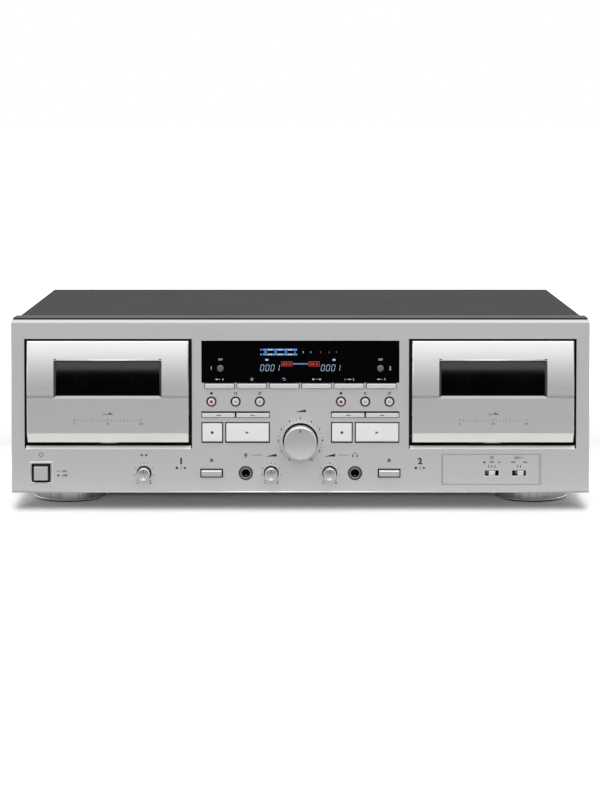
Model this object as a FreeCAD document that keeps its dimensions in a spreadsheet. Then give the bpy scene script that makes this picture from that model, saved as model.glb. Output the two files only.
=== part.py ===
import FreeCAD, Part
import collections
import math
import os
import re
import Sketcher

# A double cassette deck, in millimetres. X runs to the right, Y from the front to the back and Z up.
# The origin is on the floor, at the middle of the whole width and depth.

SIZES = (
    # Case
    ("overall_depth", 285),  # from the face of the recording level knob to the ends of the phono sockets
    ("panel_width", 435),
    ("panel_height", 130.1),
    ("panel_thickness", 4),
    ("foot_height", 13.6),  # the floor to the underside of the case
    ("cover_rise", 1.3),  # the cover stands this much above the top edge of the front panel
    ("top_bevel", 2.2),
    ("edge_bevel", 0.8),
    ("frame_inset", 1),  # the moulded frame is this much narrower than the panel on each side
    ("frame_depth", 24),  # from the panel's face to the back of the moulded frame
    ("frame_plate", 3),
    ("frame_wall", 2.4),
    ("frame_joint_margin", 2.6),  # from a door well to the joint of the moulded frame
    ("cover_inset", 3.5),
    ("cover_sheet", 1.2),
    ("cover_seam", 0.4),
    ("cover_lip", 12),
    ("cover_corner", 1.6),
    ("cover_ground_gap", 2),
    ("chassis_sheet", 1.2),
    ("front_flange", 6),
    ("side_flange", 18),
    ("rear_flange", 12),
    ("rear_return", 12),
    ("rear_return_gap", 4),
    ("vent_count", 6),
    ("vent_width", 3),
    ("vent_length", 42),
    ("vent_pitch", 8),
    ("vent_side", 103),  # from the inside of the cover to the first vent
    ("vent_front", 32),  # from the back of the moulded frame to the vents
    # Feet
    ("foot_radius", 28),
    ("foot_inset", 38.5),  # from the panel's end to the middle of a foot
    ("foot_front", 59),  # from the panel's face to the middle of a front foot
    ("foot_rear", 45),  # from the rear panel to the middle of a rear foot
    ("foot_pad_radius", 24.5),
    ("foot_pad_height", 1.3),
    ("foot_rounding", 1.2),
    # Doors
    ("door_width", 121.3),
    ("door_height", 76.5),
    ("door_side_gap", 2.4),
    ("door_top_gap", 1.4),
    ("door_bottom_gap", 3.1),
    ("door_reach", 6),  # the door's face stands this far in front of the panel
    ("door_wall", 3),
    ("door_side_wall", 2),
    ("door_edge", 0.7),
    ("door_tuck", 0.8),  # the door's shell reaches this far behind the panel's face
    ("door_return", 10),
    ("door_return_lift", 19),
    ("strip_height", 7.4),
    ("strip_lean", 4.5),
    ("curve_height", 34),  # the top of the door's face curves back over this height
    ("curve_lean", 2.4),
    ("recess_margin", 9.8),
    ("recess_drop", 14.2),
    ("ledge_bevel", 2.4),
    ("window_width", 81.2),
    ("window_height", 29.6),
    ("window_bevel", 2),
    ("window_drop", 13.1),
    ("lens_thickness", 1.5),
    ("lens_border", 2),
    ("boss_radius", 2.6),
    ("boss_gap", 1.5),
    ("hinge_setback", 7),
    ("hinge_lift", 3.4),
    ("hinge_pin_radius", 2),
    ("hinge_pin_gap", 0.4),
    ("hinge_play", 0.06),
    ("hinge_boss_radius", 4.2),
    ("hinge_arm_half", 3.4),
    ("well_wall", 2),
    ("well_depth", 17),
    # Cassette holder
    ("cassette_width", 100.4),
    ("cassette_thickness", 12),
    ("cassette_play", 0.5),
    ("holder_wall", 2),
    ("holder_sheet", 1.2),
    ("holder_lip", 5),
    ("holder_height", 60),
    ("holder_step", 6),
    ("shelf_lift", 7.7),  # the cassette's lower edge, above the hinge
    ("shelf_inner", 34.5),
    # Tape transport
    ("hub_lift", 34.8),
    ("hub_spacing", 42.5),
    ("spindle_radius", 4.2),
    ("spindle_core", 3.1),
    ("spindle_tip", 1.7),
    ("spindle_taper", 2),
    ("spindle_collar", 6.3),
    ("spindle_collar_height", 2.5),
    ("spindle_length", 11),
    ("spindle_fin", 0.9),
    ("spindle_shaft", 2),
    ("spindle_bush", 4),
    ("reel_gear_radius", 14),
    ("reel_gear_width", 2),
    ("shaft_play", 0.05),
    ("running_gap", 0.3),
    ("transport_plate", 2),
    ("bush_length", 3),
    ("capstan_offset", 20),
    ("capstan_lift", 6.5),
    ("capstan_radius", 1),
    ("capstan_reach", 13),
    ("capstan_bush", 4),
    ("flywheel_radius", 28),
    ("flywheel_width", 10),
    ("flywheel_rim", 6),
    ("flywheel_web", 4),
    ("flywheel_hub", 6),
    ("flywheel_tail", 1.5),
    ("motor_offset", -25),
    ("motor_radius", 16),
    ("motor_length", 22),
    ("motor_rounding", 1.5),
    ("motor_boss", 3),
    ("motor_shaft", 1),
    ("pulley_radius", 5),
    ("pulley_rim", 0.6),
    ("belt_thickness", 0.8),
    ("belt_width", 4),
    ("belt_play", 0.05),
    ("post_radius", 3),
    ("post_spread", 54),
    ("post_margin", 7),
    ("bracket_sheet", 1.5),
    ("bracket_margin", 1),
    ("bracket_window", 8),
    ("carriage_half", 32),
    ("carriage_sheet", 1.5),
    ("carriage_height", 12.2),
    ("carriage_gap", 0.7),
    ("carriage_travel", 6),
    ("guide_offset", 27),
    ("guide_radius", 1.5),
    ("guide_slack", 0.15),
    ("head_width", 12.4),
    ("head_depth", 12),
    ("head_height", 9.6),
    ("head_base", 1),
    ("head_rounding", 2),
    ("erase_head_width", 7),
    ("erase_head_offset", -15),
    ("erase_head_step", 1),
    ("pinch_radius", 5),
    ("pinch_width", 9),
    ("pinch_axle", 1.2),
    ("pinch_gap", 1.5),
    # Display
    ("display_height", 31.9),
    ("display_drop", 15.5),
    ("display_margin", 7.1),
    ("display_play", 0.15),
    ("display_recess", 0.5),
    ("tube_half", 46),
    ("tube_border", 3.4),
    ("tube_gap", 1),
    # Keys under the display
    ("function_slot", 4.5),
    ("function_end", 2.9),
    ("function_rib", 1.4),
    ("function_reach", 2.4),
    ("key_gap", 0.5),
    # Transport keys
    ("group_inner", 23),  # from the middle of the panel to the transport keys
    ("rec_row_space", 6),
    ("rec_spread", 3.1),
    ("round_key_radius", 2.65),
    ("round_key_gap", 1),
    ("round_key_reach", 1.8),
    ("wind_row_space", 3.7),
    ("wind_slot", 4.9),
    ("wind_height", 3.1),
    ("wind_split", 1.3),
    ("wind_reach", 1.6),
    ("play_row_space", 3.2),
    ("play_slot", 15.9),
    ("play_key_gap", 0.85),
    ("stop_width", 14.7),
    ("play_post", 1.5),
    ("play_reach", 2.2),
    ("key_rounding", 0.45),
    ("play_rounding", 0.9),
    ("guide_play", 0.25),
    ("collar_width", 1.1),
    ("collar_thickness", 1.2),
    ("collar_gap", 0.2),
    ("stem_half", 1.4),
    ("stem_gap", 0.05),  # what is left between a pressed key's stem and its switch
    ("key_travel", 0.8),
    ("board_gap", 10),
    ("board_sheet", 1.6),
    ("board_clearance", 1.6),
    ("board_post_inset", 5),
    ("switch_half", 3),
    ("switch_height_half", 1.8),
    ("switch_body", 4),
    ("switch_plunger", 1),
    # Lower row of controls
    ("control_row_lift", 14.4),
    ("eject_width", 15.3),
    ("eject_height", 5),
    ("eject_gap", 0.95),
    ("eject_reach", 3.6),
    ("eject_travel", 3),
    ("eject_rounding", 1.2),
    ("jack_spacing", 25.7),  # from an eject button to the socket beside it
    ("knob_spacing", 19.1),  # from a socket to the level knob beside it
    ("pitch_knob_inset", 26.8),  # from the middle of the left door to the pitch knob
    ("small_knob_radius", 4.75),
    ("small_knob_taper", 0.5),
    ("small_knob_reach", 9),
    ("small_knob_gap", 0.9),
    ("small_shaft", 2),
    ("small_pot_half", 5),
    ("pot_depth", 6),
    ("shaft_setback", 1),
    ("knob_rounding", 0.7),
    ("knob_tuck", 3),  # how far a knob's back sits behind the panel's face
    ("jack_ring_radius", 5.3),
    ("jack_ring_bevel", 0.4),
    ("jack_play", 0.1),
    ("jack_bore_radius", 3.3),
    ("jack_bore_depth", 31),
    ("jack_ring_reach", 0.6),
    ("jack_body_half", 6.5),
    ("jack_body_length", 30),
    ("jack_board_gap", 0.5),
    ("power_margin", 22.1),  # from the panel's end to the middle of the power button
    ("power_width", 10.2),
    ("power_gap", 1.95),
    ("power_rim", 1.6),
    ("power_rim_reach", 0.6),
    ("power_rim_bevel", 0.4),
    ("power_reach", 3),
    ("power_travel", 3),
    ("power_switch_margin", 1),
    ("power_switch_length", 16),
    ("timer_inset", 0.4),  # from the middle of the right door to the timer switch
    ("noise_spacing", 20.5),
    ("slider_slot", 10.3),
    ("slider_slot_height", 4),
    ("slider_width", 4.6),
    ("slider_height", 3.4),
    ("slider_reach", 1.6),
    ("slider_rest", 1),
    ("slider_gap", 0.1),
    ("slider_body_margin", 1),
    ("side_board_inset", 4),
    ("side_board_end", 3),
    ("side_post_offset", 30),  # from the middle of a door to the outer post of a side board
    # Recording level knob
    ("level_knob_lift", 39.1),
    ("level_knob_radius", 12.1),
    ("level_knob_taper", 1.2),
    ("level_knob_reach", 16),
    ("level_knob_gap", 1.15),
    ("level_dish_radius", 9.6),
    ("level_dish_depth", 0.3),
    ("level_shaft", 3),
    ("level_pot_radius", 8.5),
    ("level_pot_depth", 8),
    # Counter reset buttons
    ("counter_margin", 14.3),  # from the end of the display window
    ("counter_drop", 21),
    ("counter_radius", 2.4),
    ("counter_reach", 0.7),
    # Rear panel and sockets
    ("socket_reach", 9),
    ("phono_radius", 4.15),
    ("phono_hole_gap", 0.1),
    ("phono_pin_hole", 1.6),
    ("phono_pin_depth", 7),
    ("phono_border", 7.4),
    ("phono_pitch", 14),
    ("phono_rise", 19),
    ("phono_block_depth", 9),
    ("phono_block_spacing", 72.8),
    ("phono_offset", 62),
    ("phono_lift", 42),
    ("inlet_margin", 47.8),
    ("inlet_lift", 34),
    ("inlet_width", 22),
    ("inlet_height", 12),
    ("inlet_wall", 2),
    ("inlet_play", 0.1),
    ("inlet_depth", 17),
    ("inlet_flange", 2.5),
    ("inlet_flange_sheet", 1.5),
    ("inlet_rounding", 1),
    ("inlet_pin_radius", 1.2),
    ("inlet_pin_pitch", 8.6),
    ("inlet_pin_recess", 3),
    # Inside
    ("main_board_lift", 8),
    ("main_board_width", 250),
    ("main_board_side", 25),
    ("main_board_front_gap", 82.5),
    ("main_board_rear_gap", 10),
    ("main_post_radius", 3),
    ("main_post_inset", 6),
    ("heat_sink_left", 20),
    ("heat_sink_width", 50),
    ("heat_sink_depth", 12),
    ("heat_sink_height", 32),
    ("heat_sink_rear_gap", 48),
    ("connector_left", 90),
    ("connector_right", 20),
    ("connector_setback", 4),
    ("connector_depth", 6),
    ("connector_height", 8),
    ("capacitor_count", 4),
    ("capacitor_radius", 6.3),
    ("capacitor_height", 25),
    ("capacitor_pitch", 18),
    ("capacitor_left", 26),
    ("capacitor_setback", 45),
    ("core_width", 66),
    ("core_depth", 34),
    ("core_height", 55),
    ("coil_width", 42),
    ("coil_depth", 52),
    ("coil_margin", 7),
    ("core_margin", 67.8),
    ("core_setback", 78.5),
    ("core_bracket", 92),
    ("core_bracket_half", 13),
    # Screws
    ("screw_head_radius", 2.9),
    ("screw_head_height", 2),
    ("screw_head_bevel", 0.8),
    ("screw_radius", 1.45),
    ("screw_length", 6),
    ("screw_play", 0.15),
    ("side_screw_inset", 30),
    ("side_screw_drop", 6),
    ("rear_screw_inset", 30),
    ("low_screw_inset", 14),
    ("low_screw_drop", 5),
    ("core_screw_inset", 6),
)

doc = FreeCAD.newDocument("cassette_deck")
sizes = doc.addObject("Spreadsheet::Sheet", "Sizes")
for row, (alias, number) in enumerate(SIZES, 1):
    sizes.set(f"A{row}", str(number))
    sizes.setAlias(f"A{row}", alias)
places = doc.addObject("App::VarSet", "Places")
doc.recompute()

NAME = re.compile(r"[a-z][a-z_0-9]*")
size_names = {alias for alias, number in SIZES}
place_names = set()
sub_parts = []


# Expressions and values

def link(text):
    """Points each bare name of an expression to its cell of the sheet, or to its derived place."""

    def refer(match):
        word = match.group()
        if word in size_names:
            return "Sizes." + word
        if word in place_names:
            return "Places." + word
        raise ValueError(f"no size or place is named {word}, in {text}")

    return NAME.sub(refer, str(text))


def derive(name, expression):
    """A place or size worked out from the sheet, kept as a property that other expressions can name."""
    places.addProperty("App::PropertyFloat", name, "Derived")
    places.setExpression(name, link(expression))
    place_names.add(name)


def value(name):
    """The number that a size or place has now."""
    if name in size_names:
        return float(sizes.get(name))
    return float(getattr(places, name))


def about(centre, half):
    """The span of a given half width about a centre."""
    return f"({centre}) - ({half})", f"({centre}) + ({half})"


def both_ways(half):
    """The span that reaches equally far to both sides of the middle of the deck."""
    return f"-({half})", half


def on_side(side, near, far, base="0"):
    """The span between two distances from a base, to its left or to its right, low end first."""
    ends = (f"({base}) + {side} * ({near})", f"({base}) + {side} * ({far})")
    return ends if side > 0 else ends[::-1]


def deck_x(side, offset="0"):
    """A place along X, measured from the middle of one door."""
    return f"{side} * door_x + ({offset})"


# Pieces

TURNS = {
    "x": FreeCAD.Rotation(FreeCAD.Vector(0, 1, 0), 90),
    "y": FreeCAD.Rotation(FreeCAD.Vector(1, 0, 0), -90),
    "z": FreeCAD.Rotation(),
}


class Piece:
    """One solid, built as a PartDesign body from primitives, sketches and dress-up features."""

    def __init__(self, label):
        self.body = doc.addObject("PartDesign::Body", label)
        self.body.Label = label

    def feature(self, kind):
        return self.body.newObject("PartDesign::" + kind, kind)

    def origin_feature(self, role):
        """A plane or axis of the body's own origin."""
        return next(f for f in self.body.Origin.OriginFeatures if f.Role == role)

    def put(self, feature, corner):
        for axis, expression in zip("xyz", corner):
            feature.setExpression("Placement.Base." + axis, link(expression))

    def block(self, x, y, z, cut=False):
        """A box over three spans, added or cut away."""
        box = self.feature("SubtractiveBox" if cut else "AdditiveBox")
        for size, (low, high) in zip(("Length", "Width", "Height"), (x, y, z)):
            box.setExpression(size, link(f"({high}) - ({low})"))
        self.put(box, (x[0], y[0], z[0]))
        return box

    def drum(self, axis, centre, span, radius, cut=False):
        """A cylinder along an axis. The centre gives the other two coordinates, in X, Y, Z order."""
        bar = self.feature("SubtractiveCylinder" if cut else "AdditiveCylinder")
        bar.Placement = FreeCAD.Placement(FreeCAD.Vector(), TURNS[axis])
        bar.setExpression("Radius", link(radius))
        bar.setExpression("Height", link(f"({span[1]}) - ({span[0]})"))
        corner = list(centre)
        corner.insert("xyz".index(axis), span[0])
        self.put(bar, corner)
        return bar

    def sketch(self, role, offset):
        """An empty sketch on an origin plane, moved by an offset along the plane's own axes."""
        sketch = self.body.newObject("Sketcher::SketchObject", "Sketch")
        sketch.AttachmentSupport = [(self.origin_feature(role), "")]
        sketch.MapMode = "FlatFace"
        for axis, expression in zip("xyz", offset):
            sketch.setExpression("AttachmentOffset.Base." + axis, link(expression))
        return sketch

    def polygon(self, sketch, points):
        """A closed outline of straight lines, each corner held by its two coordinates."""
        count = len(points)
        first = sketch.GeometryCount
        turns = [math.tau * n / count for n in range(count)]
        rough = [(10 * math.cos(turn), 10 * math.sin(turn)) for turn in turns]
        for n in range(count):
            start = FreeCAD.Vector(*rough[n], 0)
            end = FreeCAD.Vector(*rough[(n + 1) % count], 0)
            sketch.addGeometry(Part.LineSegment(start, end), False)
        for n in range(count):
            following = first + (n + 1) % count
            sketch.addConstraint(Sketcher.Constraint("Coincident", first + n, 2, following, 1))
        for n, point in enumerate(points):
            hold(sketch, first + n, 1, point, rough[n])

    def rectangle(self, sketch, across, up):
        corners = ((across[0], up[0]), (across[1], up[0]), (across[1], up[1]), (across[0], up[1]))
        self.polygon(sketch, corners)

    def circle(self, sketch, centre, radius):
        ring = Part.Circle(FreeCAD.Vector(1, 1, 0), FreeCAD.Vector(0, 0, 1), 1)
        number = sketch.addGeometry(ring, False)
        hold(sketch, number, 3, centre, (1, 1))
        size = sketch.addConstraint(Sketcher.Constraint("Radius", number, 1))
        sketch.setExpression(f"Constraints[{size}]", link(radius))

    def pad(self, sketch, length):
        pad = self.feature("Pad")
        pad.Profile = sketch
        pad.setExpression("Length", link(length))
        return pad

    def front_sketch(self, level, rectangles, circles):
        """A sketch at one level of Y, seen from the front."""
        sketch = self.sketch("XZ_Plane", ("0", "0", f"-({level})"))
        for across, up in rectangles:
            self.rectangle(sketch, across, up)
        for centre, radius in circles:
            self.circle(sketch, centre, radius)
        return sketch

    def studs(self, y, rectangles=(), circles=()):
        """Adds a set of bars drawn from the front, over a span of Y."""
        return self.pad(self.front_sketch(y[1], rectangles, circles), f"({y[1]}) - ({y[0]})")

    def plate(self, x, y, z):
        """A plate drawn from the front and padded through its thickness."""
        return self.studs(y, [(x, z)])

    def openings(self, y, rectangles=(), circles=()):
        """Cuts openings drawn from the front, from a little before a span of Y to a little past it."""
        sketch = self.front_sketch(f"{y[0]} - 1", rectangles, circles)
        pocket = self.feature("Pocket")
        pocket.Profile = sketch
        pocket.setExpression("Length", link(f"({y[1]}) - ({y[0]}) + 2"))
        return pocket

    def revolve(self, axis, centre, profile, kind="Revolution"):
        """Turns a profile of (radius, position along the axis) about an axis along X, Y or Z."""
        first, second = centre
        if axis == "x":
            sketch = self.sketch("XZ_Plane", ("0", second, f"-({first})"))
            profile = [(along, radius) for radius, along in profile]
        elif axis == "y":
            sketch = self.sketch("XY_Plane", (first, "0", second))
        else:
            sketch = self.sketch("XZ_Plane", (first, "0", f"-({second})"))
        self.polygon(sketch, profile)
        turned = self.feature(kind)
        turned.Profile = sketch
        turned.ReferenceAxis = (sketch, ["H_Axis" if axis == "x" else "V_Axis"])
        turned.Angle = 360
        return turned

    def repeat(self, kind, first, count):
        """A pattern of one feature, which the caller sets up."""
        pattern = self.feature(kind)
        pattern.Originals = [first]
        pattern.Occurrences = int(count)
        self.body.Tip = pattern
        return pattern

    def soften(self, kind, size, chosen):
        """Rounds or bevels the edges that a test picks out."""
        doc.recompute([self.body])
        base = self.body.Tip
        edges = [f"Edge{n}" for n, edge in enumerate(base.Shape.Edges, 1) if chosen(edge)]
        if not edges:
            raise ValueError(f"{self.body.Label} has no edge to soften")
        soft = self.feature(kind)
        soft.Base = (base, edges)
        soft.setExpression("Radius" if kind == "Fillet" else "Size", link(size))
        return soft

    def at_front(self, edge):
        """True for an edge that lies in the frontmost plane of the piece."""
        return on_plane(edge, "Y", self.body.Tip.Shape.BoundBox.YMin)

    def at_back(self, edge):
        """True for an edge that lies in the rearmost plane of the piece."""
        return on_plane(edge, "Y", self.body.Tip.Shape.BoundBox.YMax)

    def done(self):
        sub_parts.append(self.body)
        return self.body


def hold(sketch, number, end, point, rough):
    """Fixes a point of a sketch by its two coordinates."""
    for kind, expression, near in zip(("DistanceX", "DistanceY"), point, rough):
        held = sketch.addConstraint(Sketcher.Constraint(kind, -1, 1, number, end, near))
        sketch.setExpression(f"Constraints[{held}]", link(expression))


def group(label, members):
    """Separate like solids that share one sub-part."""
    bundle = doc.addObject("Part::Compound", label)
    bundle.Label = label
    bundle.Links = members
    sub_parts.append(bundle)
    return bundle


def on_plane(edge, axis, level):
    """True if the whole edge lies at one level of X, Y or Z."""
    box = edge.BoundBox
    low, high = getattr(box, axis + "Min"), getattr(box, axis + "Max")
    return abs(low - level) < 1e-4 and abs(high - level) < 1e-4


# Derived places of the case

derive("half_panel", "panel_width / 2")
derive("panel_top", "foot_height + panel_height")
derive("case_top", "panel_top + cover_rise")
derive("face_y", "-overall_depth / 2 + level_knob_reach")
derive("panel_back", "face_y + panel_thickness")
derive("plate_back", "panel_back + frame_plate")
derive("frame_back", "face_y + frame_depth")
derive("frame_half", "half_panel - frame_inset")
derive("rear_face", "overall_depth / 2 - socket_reach")
derive("rear_inner", "rear_face - chassis_sheet")
derive("cover_half", "half_panel - cover_inset")
derive("cover_rear", "rear_face + cover_sheet")
derive("inner_half", "cover_half - cover_sheet")
derive("inner_top", "case_top - cover_sheet")
derive("floor_top", "foot_height + chassis_sheet")
derive("foot_x", "half_panel - foot_inset")
derive("foot_front_y", "face_y + foot_front")
derive("foot_rear_y", "rear_face - foot_rear")

# Derived places of the doors

derive("recess_half", "door_width / 2 + door_side_gap")
derive("recess_top", "panel_top - recess_drop")
derive("door_top", "recess_top - door_top_gap")
derive("door_bottom", "door_top - door_height")
derive("recess_bottom", "door_bottom - door_bottom_gap")
derive("door_x", "half_panel - recess_margin - recess_half")
derive("door_front", "face_y - door_reach")
derive("door_back", "face_y + door_tuck")
derive("door_inner", "door_front + door_wall")
derive("door_half", "door_width / 2")
derive("strip_top", "door_bottom + strip_height")
derive("window_top", "door_top - window_drop")
derive("window_bottom", "window_top - window_height")
derive("window_half", "window_width / 2")
derive("boss_x", "window_half + lens_border + boss_radius + boss_gap")
derive("boss_low", "strip_top + 2 * boss_radius")
derive("boss_high", "window_top + lens_border + boss_radius + boss_gap")
derive("hinge_y", "face_y + hinge_setback")
derive("hinge_z", "door_bottom + hinge_lift")
derive("well_back", "face_y + well_depth")
derive("well_half", "recess_half + well_wall")
derive("well_bottom", "recess_bottom - well_wall")
derive("well_top", "recess_top + well_wall")
derive("shelf_z", "hinge_z + shelf_lift")
derive("hub_z", "shelf_z + hub_lift")
derive("holder_half", "cassette_width / 2 + cassette_play")
derive("holder_outer", "holder_half + holder_wall")
derive("holder_inner_y", "face_y + holder_sheet")
derive("holder_back_y", "holder_inner_y + cassette_thickness + cassette_play")
derive("holder_lip_y", "holder_back_y + holder_sheet")
derive("holder_top", "shelf_z + holder_height")
derive("holder_bottom", "shelf_z - holder_wall")

# Derived places of the tape transport

derive("plate_rear", "well_back + transport_plate")
derive("bush_rear", "plate_rear + bush_length")
derive("gear_front", "bush_rear + running_gap")
derive("gear_rear", "gear_front + reel_gear_width")
derive("flywheel_front", "gear_rear + 2 * running_gap")
derive("flywheel_rear", "flywheel_front + flywheel_width")
derive("bracket_front", "flywheel_rear + 2 * running_gap")
derive("bracket_rear", "bracket_front + bracket_sheet")
derive("capstan_z", "shelf_z + capstan_lift")
derive("belt_y", "(flywheel_front + flywheel_rear) / 2")
derive("carriage_rear", "well_back - running_gap")
derive("carriage_front", "carriage_rear - carriage_sheet")
derive("carriage_bottom", "recess_bottom + carriage_gap")
derive("carriage_top", "carriage_bottom + carriage_height")
derive("guide_slot", "guide_radius + guide_slack")
derive("guide_z", "carriage_top - guide_slot - carriage_sheet")
derive("head_bottom", "carriage_bottom + head_base")
derive("head_top", "head_bottom + head_height")
derive("pinch_z", "capstan_z - capstan_radius - pinch_radius - running_gap - carriage_travel")
derive("post_low", "recess_bottom + post_margin")
derive("post_high", "recess_top - post_margin")

# Derived places of the display and the keys

derive("display_half", "half_panel - recess_margin - 2 * recess_half - display_margin")
derive("display_top", "panel_top - display_drop")
derive("display_bottom", "display_top - display_height")
derive("tube_bottom", "display_bottom + tube_border")
derive("tube_top", "display_top - tube_border")
derive("counter_x", "display_half - counter_margin")
derive("counter_z", "display_top - counter_drop")
derive("function_bottom", "display_bottom - function_slot")
derive("function_pitch", "(2 * display_half - function_end) / 6")
derive("function_half", "(function_pitch - function_rib) / 2")
derive("group_x", "(display_half + group_inner) / 2")
derive("group_half", "(display_half - group_inner) / 2")
derive("round_hole", "round_key_radius + round_key_gap")
derive("rec_row_z", "function_bottom - rec_row_space - round_hole")
derive("rec_pitch", "(2 * group_half + rec_spread) / 3")
derive("wind_top", "rec_row_z - round_hole - wind_row_space")
derive("wind_bottom", "wind_top - wind_slot")
derive("wind_half", "(2 * group_half - 2 * key_gap - wind_split) / 4")
derive("play_top", "wind_bottom - play_row_space")
derive("play_bottom", "play_top - play_slot")
derive("play_key_half", "group_half - 2 * play_key_gap - (stop_width + play_post) / 2")
derive("frame_joint", "door_x - well_half - frame_joint_margin")
derive("board_front", "plate_back + board_gap")
derive("board_rear", "board_front + board_sheet")
derive("switch_front", "board_front - switch_body")
derive("switch_tip", "switch_front - switch_plunger")
derive("collar_front", "plate_back + collar_gap")
derive("collar_rear", "collar_front + collar_thickness")
derive("board_half", "door_x - well_half - board_clearance")
derive("board_bottom", "foot_height + frame_wall + board_clearance")
derive("board_top", "case_top - frame_wall - board_clearance")
derive("side_board_top", "well_bottom - board_clearance")
derive("side_board_inner", "door_x - recess_half + side_board_inset")
derive("side_board_outer", "frame_half - frame_wall - side_board_end")

# Derived places of the lower row

derive("control_z", "foot_height + control_row_lift")
derive("eject_x", "display_half - eject_width / 2")
derive("jack_x", "eject_x - jack_spacing")
derive("small_knob_x", "jack_x - knob_spacing")
derive("pitch_knob_x", "door_x - pitch_knob_inset")
derive("timer_x", "door_x - timer_inset")
derive("noise_x", "timer_x + noise_spacing")
derive("power_x", "half_panel - power_margin")
derive("power_half", "power_width / 2")
derive("power_hole", "power_half + power_gap")
derive("level_z", "foot_height + level_knob_lift")
derive("shaft_end", "board_front - shaft_setback")

# Derived places of the inside and the rear

derive("socket_end", "overall_depth / 2")
derive("phono_z", "foot_height + phono_lift")
derive("inlet_x", "inner_half - inlet_margin")
derive("inlet_z", "foot_height + inlet_lift")
derive("main_board_right", "inner_half - main_board_side")
derive("main_board_left", "main_board_right - main_board_width")
derive("main_board_front", "frame_back + main_board_front_gap")
derive("main_board_rear", "rear_inner - main_board_rear_gap")
derive("main_board_z", "floor_top + main_board_lift")
derive("main_board_top", "main_board_z + board_sheet")
derive("core_x", "inner_half - core_margin")
derive("core_y", "rear_face - core_setback")
derive("bracket_top", "floor_top + bracket_sheet")
derive("screw_hole", "screw_radius + screw_play")
derive("side_screw_z", "foot_height + side_flange - side_screw_drop")
derive("low_screw_x", "inner_half - low_screw_inset")
derive("low_screw_z", "foot_height + rear_flange - low_screw_drop")
derive("rear_screw_x", "inner_half - rear_screw_inset")
derive("rear_screw_z", "case_top - (cover_lip + cover_sheet) / 2")
derive("core_screw_x", "core_bracket / 2 - core_screw_inset")

# The doors stand left and right: each deck has its number and its side.
DECKS = ((1, -1), (2, 1))
SIDES = (-1, 1)
SIDE_SCREW_Y = ("frame_back + side_screw_inset", "rear_face - side_screw_inset")
REAR_SCREW_X = ("-rear_screw_x", "0", "rear_screw_x")
PANEL_Y = ("face_y", "panel_back")
PLATE_Y = ("panel_back", "plate_back")
BOARD_Y = ("board_front", "board_rear")
KNOB_X = ("-small_knob_x", "small_knob_x", "-pitch_knob_x")

# A rectangular key: its middle, its half sizes, how far it stands out, its travel and its rounding.
Key = collections.namedtuple("Key", "name x z half_width half_height reach travel rounding")


def function_keys():
    """The six keys in a row under the display."""
    names = (
        "return_to_zero_key_1",
        "dimmer_key",
        "repeat_key",
        "parallel_record_key",
        "dub_start_key",
        "return_to_zero_key_2",
    )
    size = ("function_half - key_gap", "function_slot / 2 - key_gap")
    middle_z = "(function_bottom + display_bottom) / 2"
    half = (len(names) - 1) / 2
    moves = ("function_reach", "key_travel", "key_rounding")
    return [
        Key(name, f"function_pitch * {n - half}", middle_z, *size, *moves)
        for n, name in enumerate(names)
    ]


def transport_keys(deck, side):
    """Rewind and fast forward in one slot, and stop and play side by side below them."""
    left = f"{side} * group_x - group_half"
    right = f"{side} * group_x + group_half"
    wind = ("wind_bottom + key_gap + wind_height / 2", "wind_half", "wind_height / 2")
    play_z = "(play_top + play_bottom) / 2"
    play_height = "play_slot / 2 - play_key_gap"
    thin = ("wind_reach", "key_travel", "key_rounding")
    large = ("play_reach", "key_travel", "play_rounding")
    stop_x = f"{left} + play_key_gap + stop_width / 2"
    play_x = f"{right} - play_key_gap - play_key_half"
    return [
        Key(f"rewind_key_{deck}", f"{left} + key_gap + wind_half", *wind, *thin),
        Key(f"forward_key_{deck}", f"{right} - key_gap - wind_half", *wind, *thin),
        Key(f"stop_key_{deck}", stop_x, play_z, "stop_width / 2", play_height, *large),
        Key(f"play_key_{deck}", play_x, play_z, "play_key_half", play_height, *large),
    ]


def eject_key(deck, side):
    """The eject button below the transport keys of its deck."""
    half_size = ("eject_width / 2", "eject_height / 2")
    moves = ("eject_reach", "eject_travel", "eject_rounding")
    return Key(f"eject_button_{deck}", f"{side} * eject_x", "control_z", *half_size, *moves)


def power_key():
    """The square power button at the left end."""
    moves = ("power_reach", "power_travel", "key_rounding")
    return Key("power_button", "-power_x", "control_z", "power_half", "power_half", *moves)


FUNCTION_KEYS = function_keys()
TRANSPORT_KEYS = [key for deck, side in DECKS for key in transport_keys(deck, side)]
EJECT_KEYS = [eject_key(deck, side) for deck, side in DECKS]
PUSH_KEYS = FUNCTION_KEYS + TRANSPORT_KEYS + EJECT_KEYS + [power_key()]

# The round keys of both decks: name, and middle as seen from the front.
ROUND_KEYS = [
    (f"{name}_{deck}", (f"{side} * group_x + rec_pitch * {n}", "rec_row_z"))
    for deck, side in DECKS
    for name, n in (("record_key", -1), ("pause_key", 0), ("record_mute_key", 1))
]


def recess(side):
    """A door's recess, seen from the front."""
    return about(deck_x(side), "recess_half"), ("recess_bottom", "recess_top")


def key_opening(key, gap):
    """A key's outline with a gap all round, seen from the front."""
    return about(key.x, f"{key.half_width} + {gap}"), about(key.z, f"{key.half_height} + {gap}")


# Sub-parts of the case

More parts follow.
